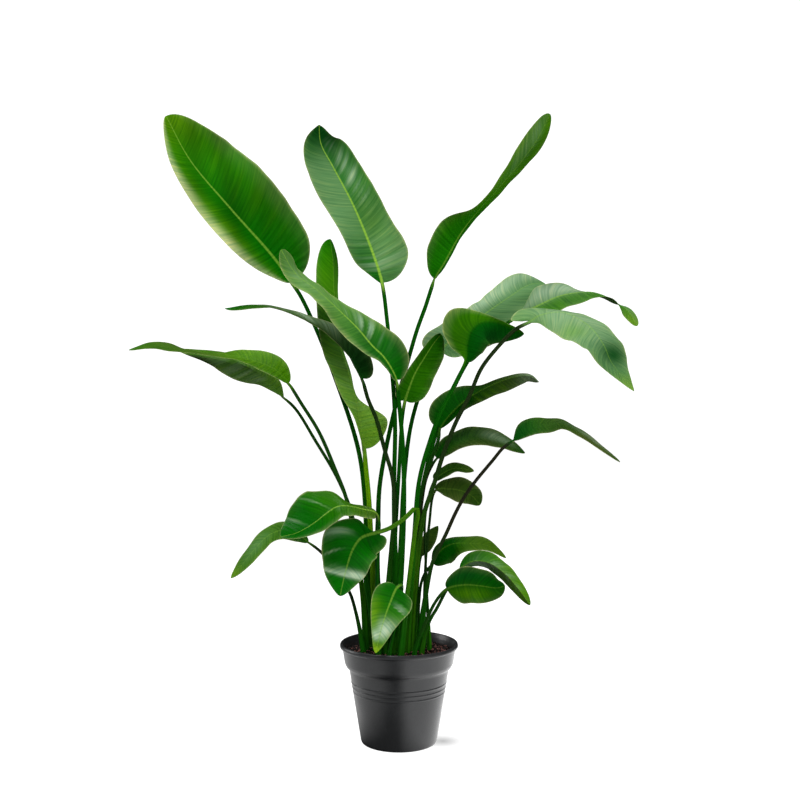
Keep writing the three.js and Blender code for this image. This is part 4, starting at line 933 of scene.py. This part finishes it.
def leaf_material(name, look, shine):
    """Waxy leaf: the painted wash, which holds each blade's painted sheen, light and shade,
    lightened in fine streaks along the side veins, with the same streaks as relief, and a gloss
    that the wash's alpha sets."""
    material, tree, shader = new_material(name, IOR=1.45, Specular_IOR_Level=shine)
    wash = add_node(tree, "Attribute", attribute_name="wash")
    colour = wash.outputs["Color"]
    veins = add_node(tree, "UVMap", uv_map="veins").outputs["UV"]
    streaks, hairs, cells = (
        add_noise(tree, add_stretch(tree, veins, scale), 1, detail)
        for scale, detail in ((VEIN_STREAKS, 2), (VEIN_HAIRS, 1), (LEAF_CELLS, 2)))
    bright = add_tint(tree, colour, *BRIGHT_TINT)
    dark = add_tint(tree, colour, *DARK_TINT)
    tone = add_mix(tree, add_range(tree, streaks, *DARK_STREAKS), dark, colour)
    tone = add_mix(tree, add_range(tree, streaks, *BRIGHT_STREAKS), tone, bright)
    tone = add_mix(tree, add_range(tree, hairs, *BRIGHT_HAIRS), tone, bright)
    rough = add_sum(
        tree, wash.outputs["Alpha"], add_range(tree, cells, *ROUGH_CELLS), CELL_ROUGHNESS)
    link_sockets(shader, Base_Color=tone, Roughness=rough,
                 Normal=add_bump(tree, streaks, look.vein_relief, VEIN_BUMP))
    return material


def pot_material(look):
    """Satin moulded plastic: fine grain, faint rings from the mould and a little dust."""
    material, tree, shader = new_material("pot_plastic", Specular_IOR_Level=0.36)
    at = add_node(tree, "TexCoord").outputs["Object"]
    grain = add_noise(tree, at, *POT_GRAIN)
    dust = add_noise(tree, at, *POT_DUST)
    rings = add_noise(tree, add_stretch(tree, at, MOULD_RINGS), 1, 2)
    light = [min(c * DUST_GAIN + DUST_LIFT, 1) for c in look.colour]
    tone = add_mix(tree, add_range(tree, dust, *DUST_SHOWN), (*look.colour, 1), (*light, 1))
    tone = add_mix(tree, add_range(tree, grain, *GRAIN_SHOWN), tone, (*light, 1))
    rough = add_range(tree, dust, *DUST_ROUGH, *(look.roughness + c for c in DUST_ROUGHNESS))
    relief = add_sum(tree, grain, rings, MOULD_RING_SHARE)
    link_sockets(shader, Base_Color=tone, Roughness=rough,
                 Normal=add_bump(tree, relief, POT_RELIEF))
    return material


def soil_material():
    """Moist potting mix: the painted wash of each crumb, mottled, matte and rough."""
    material, tree, shader = new_material("potting_mix", Specular_IOR_Level=0.3)
    wash = add_node(tree, "Attribute", attribute_name="wash").outputs["Color"]
    at = add_node(tree, "TexCoord").outputs["Object"]
    fine = add_noise(tree, at, *SOIL_GRAIN)
    dark = add_tint(tree, wash, *MOIST_TINT)
    tone = add_mix(tree, add_range(tree, fine, *MOIST_SHOWN), dark, wash)
    link_sockets(shader, Base_Color=tone, Roughness=add_range(tree, fine, *SOIL_ROUGH),
                 Normal=add_bump(tree, fine, SOIL_RELIEF))
    return material


# Settings
def number_setting(name, description, default, **limits):
    return bpy.props.FloatProperty(
        name=name, description=description, default=default, **limits)


def length_setting(name, description, default, **limits):
    return number_setting(name, description, default, unit="LENGTH", **limits)


def share_setting(name, description, default, most=1):
    return number_setting(name, description, default, subtype="FACTOR", min=0, max=most)


def power_setting(name, description, default):
    return number_setting(name, description, default, unit="POWER")


def count_setting(name, description, default, least):
    return bpy.props.IntProperty(
        name=name, description=description, default=default, min=least)


def colour_setting(name, description, red, green, blue):
    return bpy.props.FloatVectorProperty(
        name=name, description=description, default=linear(red, green, blue), subtype="COLOR",
        min=0, max=1)


class PLANT_PG_leaves(bpy.types.PropertyGroup):
    row_step: length_setting("Row step", "Distance between a leaf's rows", 0.0024, min=0.001)
    blade_thickness: length_setting(
        "Blade thickness", "Thickness of a blade away from its midrib", 0.0008)
    pleat_spacing: length_setting(
        "Pleat spacing", "Distance between the pleats along the midrib", 0.0125)
    pleat_height: length_setting(
        "Pleat height", "How far a pleat rises from the blade", 0.0007)
    slant_at_base: number_setting(
        "Vein slant at the base", "Run toward the tip for each step out from the midrib", -0.05)
    slant_at_tip: number_setting(
        "Vein slant at the tip", "Run toward the tip for each step out from the midrib", 0.75)
    ripple_length: length_setting(
        "Margin ripple length", "Length of the margin's small waves", 0.04)
    ripple_height: length_setting(
        "Margin ripple height", "Height of the margin's small waves", 0.0012)
    margin_wander: share_setting(
        "Margin wander", "Share by which a blade's width wanders", 0.012, 0.1)
    vein_relief: length_setting(
        "Vein relief", "Height of the fine veins in the surface", 0.00018)
    deep: colour_setting("Deep green", "Colour of most blades", 5, 92, 2)
    fresh: colour_setting("Fresh green", "Colour of young and thin blades", 92, 146, 8)
    # Partly the waxy grey green of older blades, partly painted sheen where a blade's top catches
    # the light.
    dull: colour_setting("Dull green", "Colour of waxy older blades", 92, 138, 84)
    olive: colour_setting("Olive", "Brownish green of the oldest blades", 60, 80, 28)
    # Partly pale wax, partly painted sheen and highlights on the blades.
    bloom: colour_setting("Bloom", "Colour of the pale wax on a blade", 176, 204, 172)
    # Painted shade: the colour put where a blade lies in shadow.
    shade: colour_setting("Dark patch", "Colour of the darkest parts of a blade", 8, 66, 20)
    bark: colour_setting("Stalk brown", "Colour of a thin stalk near its blade", 34, 36, 24)
    pale: colour_setting("Pale margin", "Colour of a thin margin", 206, 214, 150)
    yellow: colour_setting("Yellow tip", "Colour of a tip that turns", 150, 190, 24)
    rib: colour_setting("Midrib", "Colour of the midrib on the upper side", 130, 178, 60)
    under: colour_setting("Underside", "Colour of the underside", 44, 70, 20)
    stalk_low: colour_setting("Stalk at the soil", "Colour of a stalk's sheath", 20, 88, 8)
    stalk_high: colour_setting(
        "Stalk at the blade", "Colour of a stalk near its blade", 12, 78, 6)


class PLANT_PG_soil(bpy.types.PropertyGroup):
    top: length_setting("Soil height", "Height of the soil above the floor", 0.18)
    lumps: length_setting("Lumps", "Height of the soil's lumps", 0.0022)
    crumbs: count_setting("Crumbs", "Number of loose crumbs and bark bits", 2600, 0)
    crumb_size: length_setting("Crumb size", "Half the length of a common crumb", 0.0019)
    colour: colour_setting("Peat", "Colour of the soil", 34, 24, 21)
    bark: colour_setting("Bark", "Colour of the reddish bits", 186, 128, 118)


class PLANT_PG_pot(bpy.types.PropertyGroup):
    height: length_setting("Height", "Height of the pot", 0.198)
    rim_radius: length_setting("Rim radius", "Radius of the pot at its lip", 0.118)
    sides: count_setting("Sides", "Number of faces round the pot", 160, 24)
    colour: colour_setting("Plastic", "Colour of the pot", 44, 45, 46)
    roughness: share_setting("Roughness", "Roughness of the plastic", 0.32)


class PLANT_PG_stage(bpy.types.PropertyGroup):
    lens: number_setting("Lens", "Focal length for a 36 mm frame", 48, min=10)
    floor_size: length_setting("Floor size", "Length of the floor's side", 40)
    key_power: power_setting("Key light", "Power of the light above on the left", 30)
    fill_power: power_setting(
        "Fill light", "Power of the wide light in front, which leaves no gloss", 30)
    right_power: power_setting("Right light", "Power of the tall light on the right", 28)
    left_power: power_setting("Left light", "Power of the tall light on the left", 14)
    back_power: power_setting("Back light", "Power of the light above and behind", 28)
    rear_power: power_setting("Rear light", "Power of the soft light on the back", 26)
    # The floor's dimmer glow there is a painted shadow, over the faint shadow that the pot casts.
    floor_shade: number_setting(
        "Floor shade", "Glow of the floor in the pot's shadow on the right", 0.35, min=0, max=1)
    card_right: number_setting(
        "Right reflection", "Strength of the white that the pot's right reflects", 2.2, min=0)
    card_left: number_setting(
        "Left reflection", "Strength of the white that the pot's left reflects", 1.3, min=0)
    sky: number_setting("Sky", "Strength of the soft light from above", 0.25, min=0)
    ground: number_setting(
        "Ground", "Strength of the light from the sides and below", 0.03, min=0)


# Stage, in metres apart from the card's size and height. The floor's glow fades toward the
# middle of the pot's shadow, a painted shadow over the faint one that the pot casts, and the
# card's glow and the sky's are ranges across it and up.
SHADE_MIDDLE = (0.088, 0, 0)
SHADE_REACH = (0, 0.05)
CARD_SIZE = 1400
CARD_HEIGHT = 2
CARD_RIGHT = (0, 0.07)
CARD_LEFT = (-0.07, -0.18)
SKY_RISE = (0.15, 0.85)
BACKDROP = 1.2
FRAME_WIDTH = 36

# Each light's name, place, aim, size, and whether it shows as gloss
LIGHTS = [
    ("key", (-0.9, -0.9, 2.4), (0, 0, 0.8), (1, 1), True),
    ("right", (1.6, -1.1, 0.6), (0, 0, 0.3), (2.2, 1.1), False),
    ("left", (-1.8, 0.5, 0.6), (0, 0, 0.3), (0.8, 1.2), True),
    ("back", (0.2, 0.8, 2.7), (0, 0, 0.9), (1.8, 1.2), True),
    ("rear", (0.8, 2.6, 1.3), (0, 0, 0.7), (2, 2), False),
    ("fill", (-0.5, -2.7, 1.5), (0, 0, 0.7), (2, 2), False),
]

# Pot sizes in millimetres, as in the part's source. A ring line's profile is noted as out from
# the wall, up from the ring's height, and rounding.
POT_WALL = 2.4
POT_FLOOR = 3
LIP_WIDTH = 4.5
BAND_TOP = [113, 188]
BAND_LOW = [108, 158]
WALL_TOP = [99.5, 148]
FOOT = [76, 5]
RING_HEIGHTS = [103, 112, 121]
RING_PROFILE = [[-0.28, -2.2, 0.6], [0.8, -0.3, 1.2], [0.2, 2.2, 0.6]]
DRAIN_COUNT = 6
DRAIN_RADIUS = 6
DRAIN_CIRCLE = 52
DRILL_SIDES = 32
DRILL_SPAN = (-5.0, 12.0)
SHARP_ANGLE = 50

# Soil in millimetres and in shares of its radius. Its lumps are products of two sines: their
# share, and what each sine takes of x, of y and as its start.
SOIL_GAP = 0.45
SOIL_SIDES = 200
SOIL_CIRCLES = 64
SOIL_BUNCHING = 0.9
SOIL_MIDDLE = 0.004
SOIL_EDGE_DROP = 2
SOIL_EDGE_PARTS = 8
LUMPS_FADE = 0.06
LUMPS = [
    (1, (0.11, 0, 0.6), (0, 0.13, 0.2)),
    (0.45, (0.31, 0.12, 0), (-0.2, 0.27, 1)),
    (0.3, (0.83, 0.3, 2), (-0.4, 0.71, 0)),
]
PEAT_LIGHT = 0.8
PEAT_CHANGE = 0.5
PEAT_PATCH = (5, 9, 6)
PEAT_SEEDS = (7, 8)

# Crumbs: icosahedra whose spans, corners, tilt and size are drawn at random
CRUMB_SEED = 41
CRUMB_MARGIN = 4
CRUMB_SPREAD = 0.38
CRUMB_LIMITS = (0.4, 2.4)
CRUMB_SPANS = ([0.7, 0.5, 0.4], [1.5, 1.0, 0.8])
CRUMB_SHAKE = (0.8, 1.2)
CRUMB_TILT = 0.7
CRUMB_LIFT = 0.25
PEAT_SHARE = 0.55
BARK_LIGHT = (0.35, 1.1)
GOLDEN = (1 + math.sqrt(5)) / 2
CRUMB_CORNERS = np.array([
    [-1, GOLDEN, 0], [1, GOLDEN, 0], [-1, -GOLDEN, 0], [1, -GOLDEN, 0],
    [0, -1, GOLDEN], [0, 1, GOLDEN], [0, -1, -GOLDEN], [0, 1, -GOLDEN],
    [GOLDEN, 0, -1], [GOLDEN, 0, 1], [-GOLDEN, 0, -1], [-GOLDEN, 0, 1]]) / 1.9
CRUMB_FACES = np.array([
    [0, 11, 5], [0, 5, 1], [0, 1, 7], [0, 7, 10], [0, 10, 11], [1, 5, 9], [5, 11, 4],
    [11, 10, 2], [10, 7, 6], [7, 1, 8], [3, 9, 4], [3, 4, 2], [3, 2, 6], [3, 6, 8], [3, 8, 9],
    [4, 9, 5], [2, 4, 11], [6, 2, 10], [8, 6, 7], [9, 8, 1]])


def inside_profile(look, gap):
    """The pot's inner face from the rim down to the floor, as [radius, height, rounding] moved
    inward by a gap."""
    rim, height = look.rim_radius * TO_MM, look.height * TO_MM
    shift = POT_WALL + gap
    return [
        [rim - LIP_WIDTH - gap, height - 0.8, 1.2],
        [BAND_TOP[0] - shift, BAND_TOP[1], 2],
        [BAND_LOW[0] - shift, BAND_LOW[1] + 1, 2],
        [WALL_TOP[0] - shift, WALL_TOP[1] + 2, 2],
        [FOOT[0] - shift, POT_FLOOR + gap, 2],
        [0.01, POT_FLOOR + gap, 0],
    ]


def outside_profile(look):
    """The pot's outer face from the middle of its underside up: a flat foot, a tapered wall with
    three fine rings, a shoulder with a bead, a wider band and a rolled lip."""
    rim, height = look.rim_radius * TO_MM, look.height * TO_MM
    rings = []
    for at in RING_HEIGHTS:
        radius = mix(FOOT[0], WALL_TOP[0], (at - FOOT[1]) / (WALL_TOP[1] - FOOT[1]))
        rings += [[radius + out, at + up, rounding] for out, up, rounding in RING_PROFILE]
    return [
        [0.01, 0, 0],
        [FOOT[0] - 5, 0, 1.5],
        [FOOT[0] - 1.5, 1.5, 1.5],
        [FOOT[0], FOOT[1], 1.5],
        *rings,
        [WALL_TOP[0] - 0.5, WALL_TOP[1] - 3, 1.5],
        [WALL_TOP[0] + 1.3, WALL_TOP[1] + 1, 1.6],
        [WALL_TOP[0] + 5, WALL_TOP[1] + 3.5, 1.5],
        [BAND_LOW[0], BAND_LOW[1], 3],
        [BAND_TOP[0], BAND_TOP[1], 1.5],
        [rim - 0.6, height - 9, 2],
        [rim, height - 5, 2.5],
        [rim - 0.8, height - 1.2, 1.4],
        [rim - 2.6, height, 1],
    ]


def drain_drill():
    """The points and triangles of the closed upright bars that cut the drain holes."""
    k = np.arange(DRILL_SIDES)
    n = np.roll(k, -1)
    hub = np.zeros(DRILL_SIDES - 2, int)
    circles = DRAIN_CIRCLE * circle(DRAIN_COUNT, 0.5)[:, None] + DRAIN_RADIUS * circle(DRILL_SIDES)
    ends = [np.concatenate([circles, np.full(circles.shape[:2] + (1,), height)], -1)
            for height in DRILL_SPAN]
    walls = np.stack([k, n, n + DRILL_SIDES, k + DRILL_SIDES], -1)
    caps = np.concatenate([np.stack([n[1:-1], k[1:-1], hub], -1),
                           np.stack([k[1:-1], n[1:-1], hub], -1) + DRILL_SIDES])
    starts = 2 * DRILL_SIDES * np.arange(DRAIN_COUNT)[:, None, None]
    walls, caps = (walls + starts).reshape(-1, 4), (caps + starts).reshape(-1, 3)
    return (np.stack(ends, 1).reshape(-1, 3),
            np.concatenate([walls[:, [0, 1, 2]], walls[:, [0, 2, 3]], caps]))


def crumb_shapes(draw, size):
    """The corners of each crumb about its middle: an icosahedron with spans of its own, every
    corner moved in or out, tilted about a random axis and then spun about Z."""
    count = len(size)
    spans = draw.uniform(*CRUMB_SPANS, (count, 3)) * size[:, None]
    bits = CRUMB_CORNERS * spans[:, None] * draw.uniform(*CRUMB_SHAKE, (count, 12, 1))
    axes = unit(draw.normal(size=(count, 3)))
    swing = draw.uniform(-CRUMB_TILT, CRUMB_TILT, count)[:, None, None]
    spin = draw.uniform(0, 2 * math.pi, count)[:, None]
    bits = (bits * np.cos(swing) + np.cross(axes[:, None], bits) * np.sin(swing)
            + axes[:, None] * (bits @ axes[..., None]) * (1 - np.cos(swing)))
    x, y, z = np.moveaxis(bits, -1, 0)
    return np.stack([x * np.cos(spin) - y * np.sin(spin),
                     x * np.sin(spin) + y * np.cos(spin), z], -1)


# Operators
class PLANT_OT_pot(bpy.types.Operator):
    """Turn the nursery pot from its profile and drill the drain holes"""
    bl_idname = "plant.pot"
    bl_label = "Pot"

    def execute(self, context):
        look = context.scene.plant_pot
        profile = rounded(outside_profile(look) + inside_profile(look, 0))
        material = pot_material(look)
        points, triangles = turned_solid(
            turned_points(profile, look.sides), look.sides, profile[0][1], profile[-1][1])
        pot = add_mesh("nursery_pot", points, triangles, material)
        drill = add_mesh("drain_drill", *drain_drill(), material)
        cut = pot.modifiers.new("drain_holes", "BOOLEAN")
        cut.operation = "DIFFERENCE"
        cut.object = drill
        shaped = pot.evaluated_get(context.evaluated_depsgraph_get())
        mesh = bpy.data.meshes.new_from_object(shaped)
        pot.modifiers.clear()
        pot.data = mesh
        bpy.data.objects.remove(drill)
        mesh.set_sharp_from_angle(angle=math.radians(SHARP_ANGLE))
        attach(pot, "root")
        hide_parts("pot")
        return {"FINISHED"}


class PLANT_OT_soil(bpy.types.Operator):
    """Fill the pot with lumpy soil and strew crumbs and bark over it"""
    bl_idname = "plant.soil"
    bl_label = "Soil"

    def execute(self, context):
        look = context.scene.plant_soil
        top = look.top * TO_MM
        lumps = look.lumps * TO_MM
        below = np.array(inside_profile(context.scene.plant_pot, SOIL_GAP))[:, :2]
        band_top, band_low = below[1], below[2]
        edge = mix(band_low[0], band_top[0],
                   (top - SOIL_EDGE_DROP - band_low[1]) / (band_top[1] - band_low[1]))

        def height(x, y):
            """The soil's top: lumps from products of sines, drawn down at the pot's wall."""
            radius = np.hypot(x, y) / edge
            rise = sum(share * np.sin(a * x + b * y + c) * np.sin(d * x + e * y + f)
                       for share, (a, b, c), (d, e, f) in LUMPS)
            return (top + lumps * rise * smooth((1 - radius) / LUMPS_FADE)
                    - SOIL_EDGE_DROP * smooth(radius * SOIL_EDGE_PARTS - SOIL_EDGE_PARTS + 1))

        radii = edge * np.linspace(SOIL_MIDDLE, 1, SOIL_CIRCLES) ** SOIL_BUNCHING
        x, y = radii[:, None] * circle(SOIL_SIDES).T[:, None]
        crown = np.stack([x, y, height(x, y)], -1)[::-1].reshape(-1, 3)
        wall = turned_points(below[2:][::-1], SOIL_SIDES)
        points, triangles = turned_solid(
            np.concatenate([wall, crown]), SOIL_SIDES, below[-1][1], height(0, 0))
        material = soil_material()
        soil = add_mesh("soil_fill", points, triangles, material)
        peat, bark = np.array(look.colour), np.array(look.bark)
        x, y = points[:, :2].T
        shade = (drift(x / PEAT_PATCH[0] + y / PEAT_PATCH[1], PEAT_SEEDS[0])
                 * drift(y / PEAT_PATCH[2], PEAT_SEEDS[1]))
        add_wash(soil, peat * (PEAT_LIGHT + PEAT_CHANGE * shade[:, None]))
        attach(soil, "root")
        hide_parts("soil")

        draw = np.random.default_rng(CRUMB_SEED)
        count = look.crumbs
        reach = (edge - CRUMB_MARGIN) * np.sqrt(draw.uniform(0, 1, count))
        turn = draw.uniform(0, 2 * math.pi, count)
        x, y = reach * np.cos(turn), reach * np.sin(turn)
        size = (look.crumb_size * TO_MM
                * draw.lognormal(0, CRUMB_SPREAD, count).clip(*CRUMB_LIMITS))
        rest = np.stack([x, y, height(x, y) + CRUMB_LIFT * size], -1)
        points = (crumb_shapes(draw, size) + rest[:, None]).reshape(-1, 3)
        corners = len(CRUMB_CORNERS)
        triangles = (CRUMB_FACES + corners * np.arange(count)[:, None, None]).reshape(-1, 3)
        crumbs = add_mesh("soil_crumbs", points, triangles, material, False)
        kind = draw.uniform(0, 1, (count, 1))
        colour = np.where(kind < PEAT_SHARE, peat * PEAT_LIGHT,
                          bark * draw.uniform(*BARK_LIGHT, (count, 1)))
        add_wash(crumbs, np.repeat(colour, corners, axis=0))
        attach(crumbs, "root")
        return {"FINISHED"}


class PLANT_OT_leaves(bpy.types.Operator):
    """Grow every leaf, its stalk and blade in one, over the CAD leaf of the same name"""
    bl_idname = "plant.leaves"
    bl_label = "Leaves"

    def execute(self, context):
        look = context.scene.plant_leaves
        skins = {name: leaf_material(name, look, shine) for name, shine in SKINS.items()}
        colours = {name: np.array(getattr(look, name)) for name in (
            "deep", "fresh", "dull", "olive", "bloom", "shade", "bark", "pale", "yellow", "rib",
            "under", "stalk_low", "stalk_high")}
        for number, leaf in enumerate(LEAVES):
            ring, grid = leaf_surface(leaf, number, look)
            rows, around = ring.shape[:2]
            finish = FINISHES[leaf["name"]]
            piece = add_mesh(leaf["name"] + "_grown", ring.reshape(-1, 3),
                             ring_faces(rows, around), skins[finish.get("skin", "leaf_skin")])
            blade = grid["t"] > 0
            across = np.where(blade, grid["out"], grid["vein"]) / UV_LENGTH
            along = np.where(blade, grid["vein"], grid["out"]) / UV_LENGTH
            add_uv(piece, "veins", np.stack([across, along], -1))
            gloss = mix(finish.get("gloss", UPPER_GLOSS), UNDERSIDE_GLOSS, grid["under"])
            gloss = mix(STALK_GLOSS, gloss, grid["blade"])
            add_wash(piece, leaf_wash(grid, finish, colours, number), gloss)
            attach(piece, "root")
            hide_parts(leaf["name"])
        return {"FINISHED"}


def add_glowing_square(name, side, height, skin, **sockets):
    """A level square that glows white, but lights no rough surface and throws no shadow. Side
    and height are millimetres. With it come its shader, its node tree and the place on it."""
    material, tree, shader = new_material(
        skin, Emission_Color=(1, 1, 1, 1), Specular_IOR_Level=0.0, **sockets)
    material.cycles.emission_sampling = "NONE"
    half = side / 2
    corners = [[-half, -half, height], [half, -half, height], [half, half, height],
               [-half, half, height]]
    square = add_mesh(name, np.array(corners), np.array([[0, 1, 2, 3]]), material, False)
    square.visible_diffuse = False
    square.visible_shadow = False
    return square, shader, tree, add_node(tree, "TexCoord").outputs["Object"]


def add_area_light(name, place_at, aim, size, power):
    """An area light in metres that faces its aim."""
    light = bpy.data.lights.new(name, "AREA")
    light.shape = "RECTANGLE"
    light.size, light.size_y = size
    light.energy = power
    lamp = bpy.data.objects.new(name, light)
    lamp.location = place_at
    toward = np.array(aim, float) - np.array(place_at, float)
    lamp.rotation_euler = (
        math.atan2(math.hypot(toward[0], toward[1]), -toward[2]), 0,
        math.atan2(toward[1], toward[0]) - math.pi / 2)
    bpy.context.scene.collection.objects.link(lamp)
    return lamp


class PLANT_OT_stage(bpy.types.Operator):
    """Lay the white floor, hang the studio lights and set the camera at the photo's place"""
    bl_idname = "plant.stage"
    bl_label = "Stage"

    def execute(self, context):
        look = context.scene.plant_stage
        floor, shader, tree, at = add_glowing_square(
            "studio_floor", look.floor_size * TO_MM, 0, "studio_white",
            Base_Color=(0.3, 0.3, 0.3, 1), Roughness=0.9)
        # Painted shadow: the floor glows less toward the middle of the pot's shadow on the right.
        away = add_node(tree, "VectorMath", {0: at, 1: SHADE_MIDDLE}, operation="DISTANCE")
        glow = add_range(tree, away.outputs["Value"], *SHADE_REACH, look.floor_shade, 1)
        link_sockets(shader, Emission_Strength=glow)
        floor.visible_glossy = False
        card, shader, tree, at = add_glowing_square(
            "reflector_card", CARD_SIZE, CARD_HEIGHT, "reflector_white",
            Base_Color=(0, 0, 0, 1))
        across = add_node(tree, "SeparateXYZ", {"Vector": at}).outputs["X"]
        right = add_range(tree, across, *CARD_RIGHT, 0, look.card_right)
        left = add_range(tree, across, *CARD_LEFT, 0, look.card_left)
        both = add_node(tree, "Math", {0: right, 1: left}, operation="ADD").outputs[0]
        link_sockets(shader, Emission_Strength=both)
        card.visible_camera = False
        card.visible_transmission = False

        world = bpy.data.worlds.new("studio_sky")
        context.scene.world = world
        world.use_nodes = True
        world.cycles_visibility.glossy = False
        tree = world.node_tree
        direction = add_node(tree, "TexCoord").outputs["Generated"]
        up = add_node(tree, "SeparateXYZ", {"Vector": direction}).outputs["Z"]
        glow = add_range(tree, up, *SKY_RISE, look.ground, look.sky)
        seen = add_node(tree, "LightPath").outputs["Is Camera Ray"]
        strength = add_node(tree, "Mix", {0: seen, 2: glow, 3: BACKDROP}, data_type="FLOAT")
        shade = tree.nodes["Background"]
        shade.inputs["Color"].default_value = (1, 1, 1, 1)
        link_sockets(shade, Strength=strength.outputs[0])

        for name, place_at, aim, size, glossy in LIGHTS:
            power = getattr(look, name + "_power")
            lamp = add_area_light(name + "_light", place_at, aim, size, power)
            lamp.visible_glossy = glossy

        lens = bpy.data.cameras.new("photo_camera")
        lens.lens = look.lens
        lens.sensor_width = FRAME_WIDTH
        camera = bpy.data.objects.new("photo_camera", lens)
        camera.location = (EYE_ACROSS * MM, -EYE_DISTANCE * MM, EYE_HEIGHT * MM)
        camera.rotation_euler = (math.pi / 2, 0, 0)
        context.scene.collection.objects.link(camera)
        context.scene.camera = camera
        context.scene.view_settings.view_transform = "Standard"
        return {"FINISHED"}


class PLANT_PT_panel(bpy.types.Panel):
    """The operators, each with its settings below it"""
    bl_idname = "PLANT_PT_panel"
    bl_label = "Potted bird of paradise"
    bl_space_type = "VIEW_3D"
    bl_region_type = "UI"
    bl_category = "Plant"

    def draw(self, context):
        for operator in OPERATORS:
            self.layout.operator(operator.bl_idname)
            settings = getattr(context.scene, SETTINGS[operator.bl_idname][0])
            box = self.layout.box()
            for name in settings.bl_rna.properties.keys():
                if name not in ("rna_type", "name"):
                    box.prop(settings, name)


OPERATORS = (PLANT_OT_stage, PLANT_OT_pot, PLANT_OT_soil, PLANT_OT_leaves)
SETTINGS = {
    "plant.stage": ("plant_stage", PLANT_PG_stage),
    "plant.pot": ("plant_pot", PLANT_PG_pot),
    "plant.soil": ("plant_soil", PLANT_PG_soil),
    "plant.leaves": ("plant_leaves", PLANT_PG_leaves),
}


def register():
    for name, group in SETTINGS.values():
        bpy.utils.register_class(group)
        setattr(bpy.types.Scene, name, bpy.props.PointerProperty(type=group))
    for operator in OPERATORS:
        bpy.utils.register_class(operator)
    bpy.utils.register_class(PLANT_PT_panel)


def unregister():
    bpy.utils.unregister_class(PLANT_PT_panel)
    for operator in reversed(OPERATORS):
        bpy.utils.unregister_class(operator)
    for name, group in SETTINGS.values():
        delattr(bpy.types.Scene, name)
        bpy.utils.unregister_class(group)


def main():
    register()
    bpy.ops.plant.stage()
    bpy.ops.plant.pot()
    bpy.ops.plant.soil()
    bpy.ops.plant.leaves()


if __name__ == "__main__":
    main()
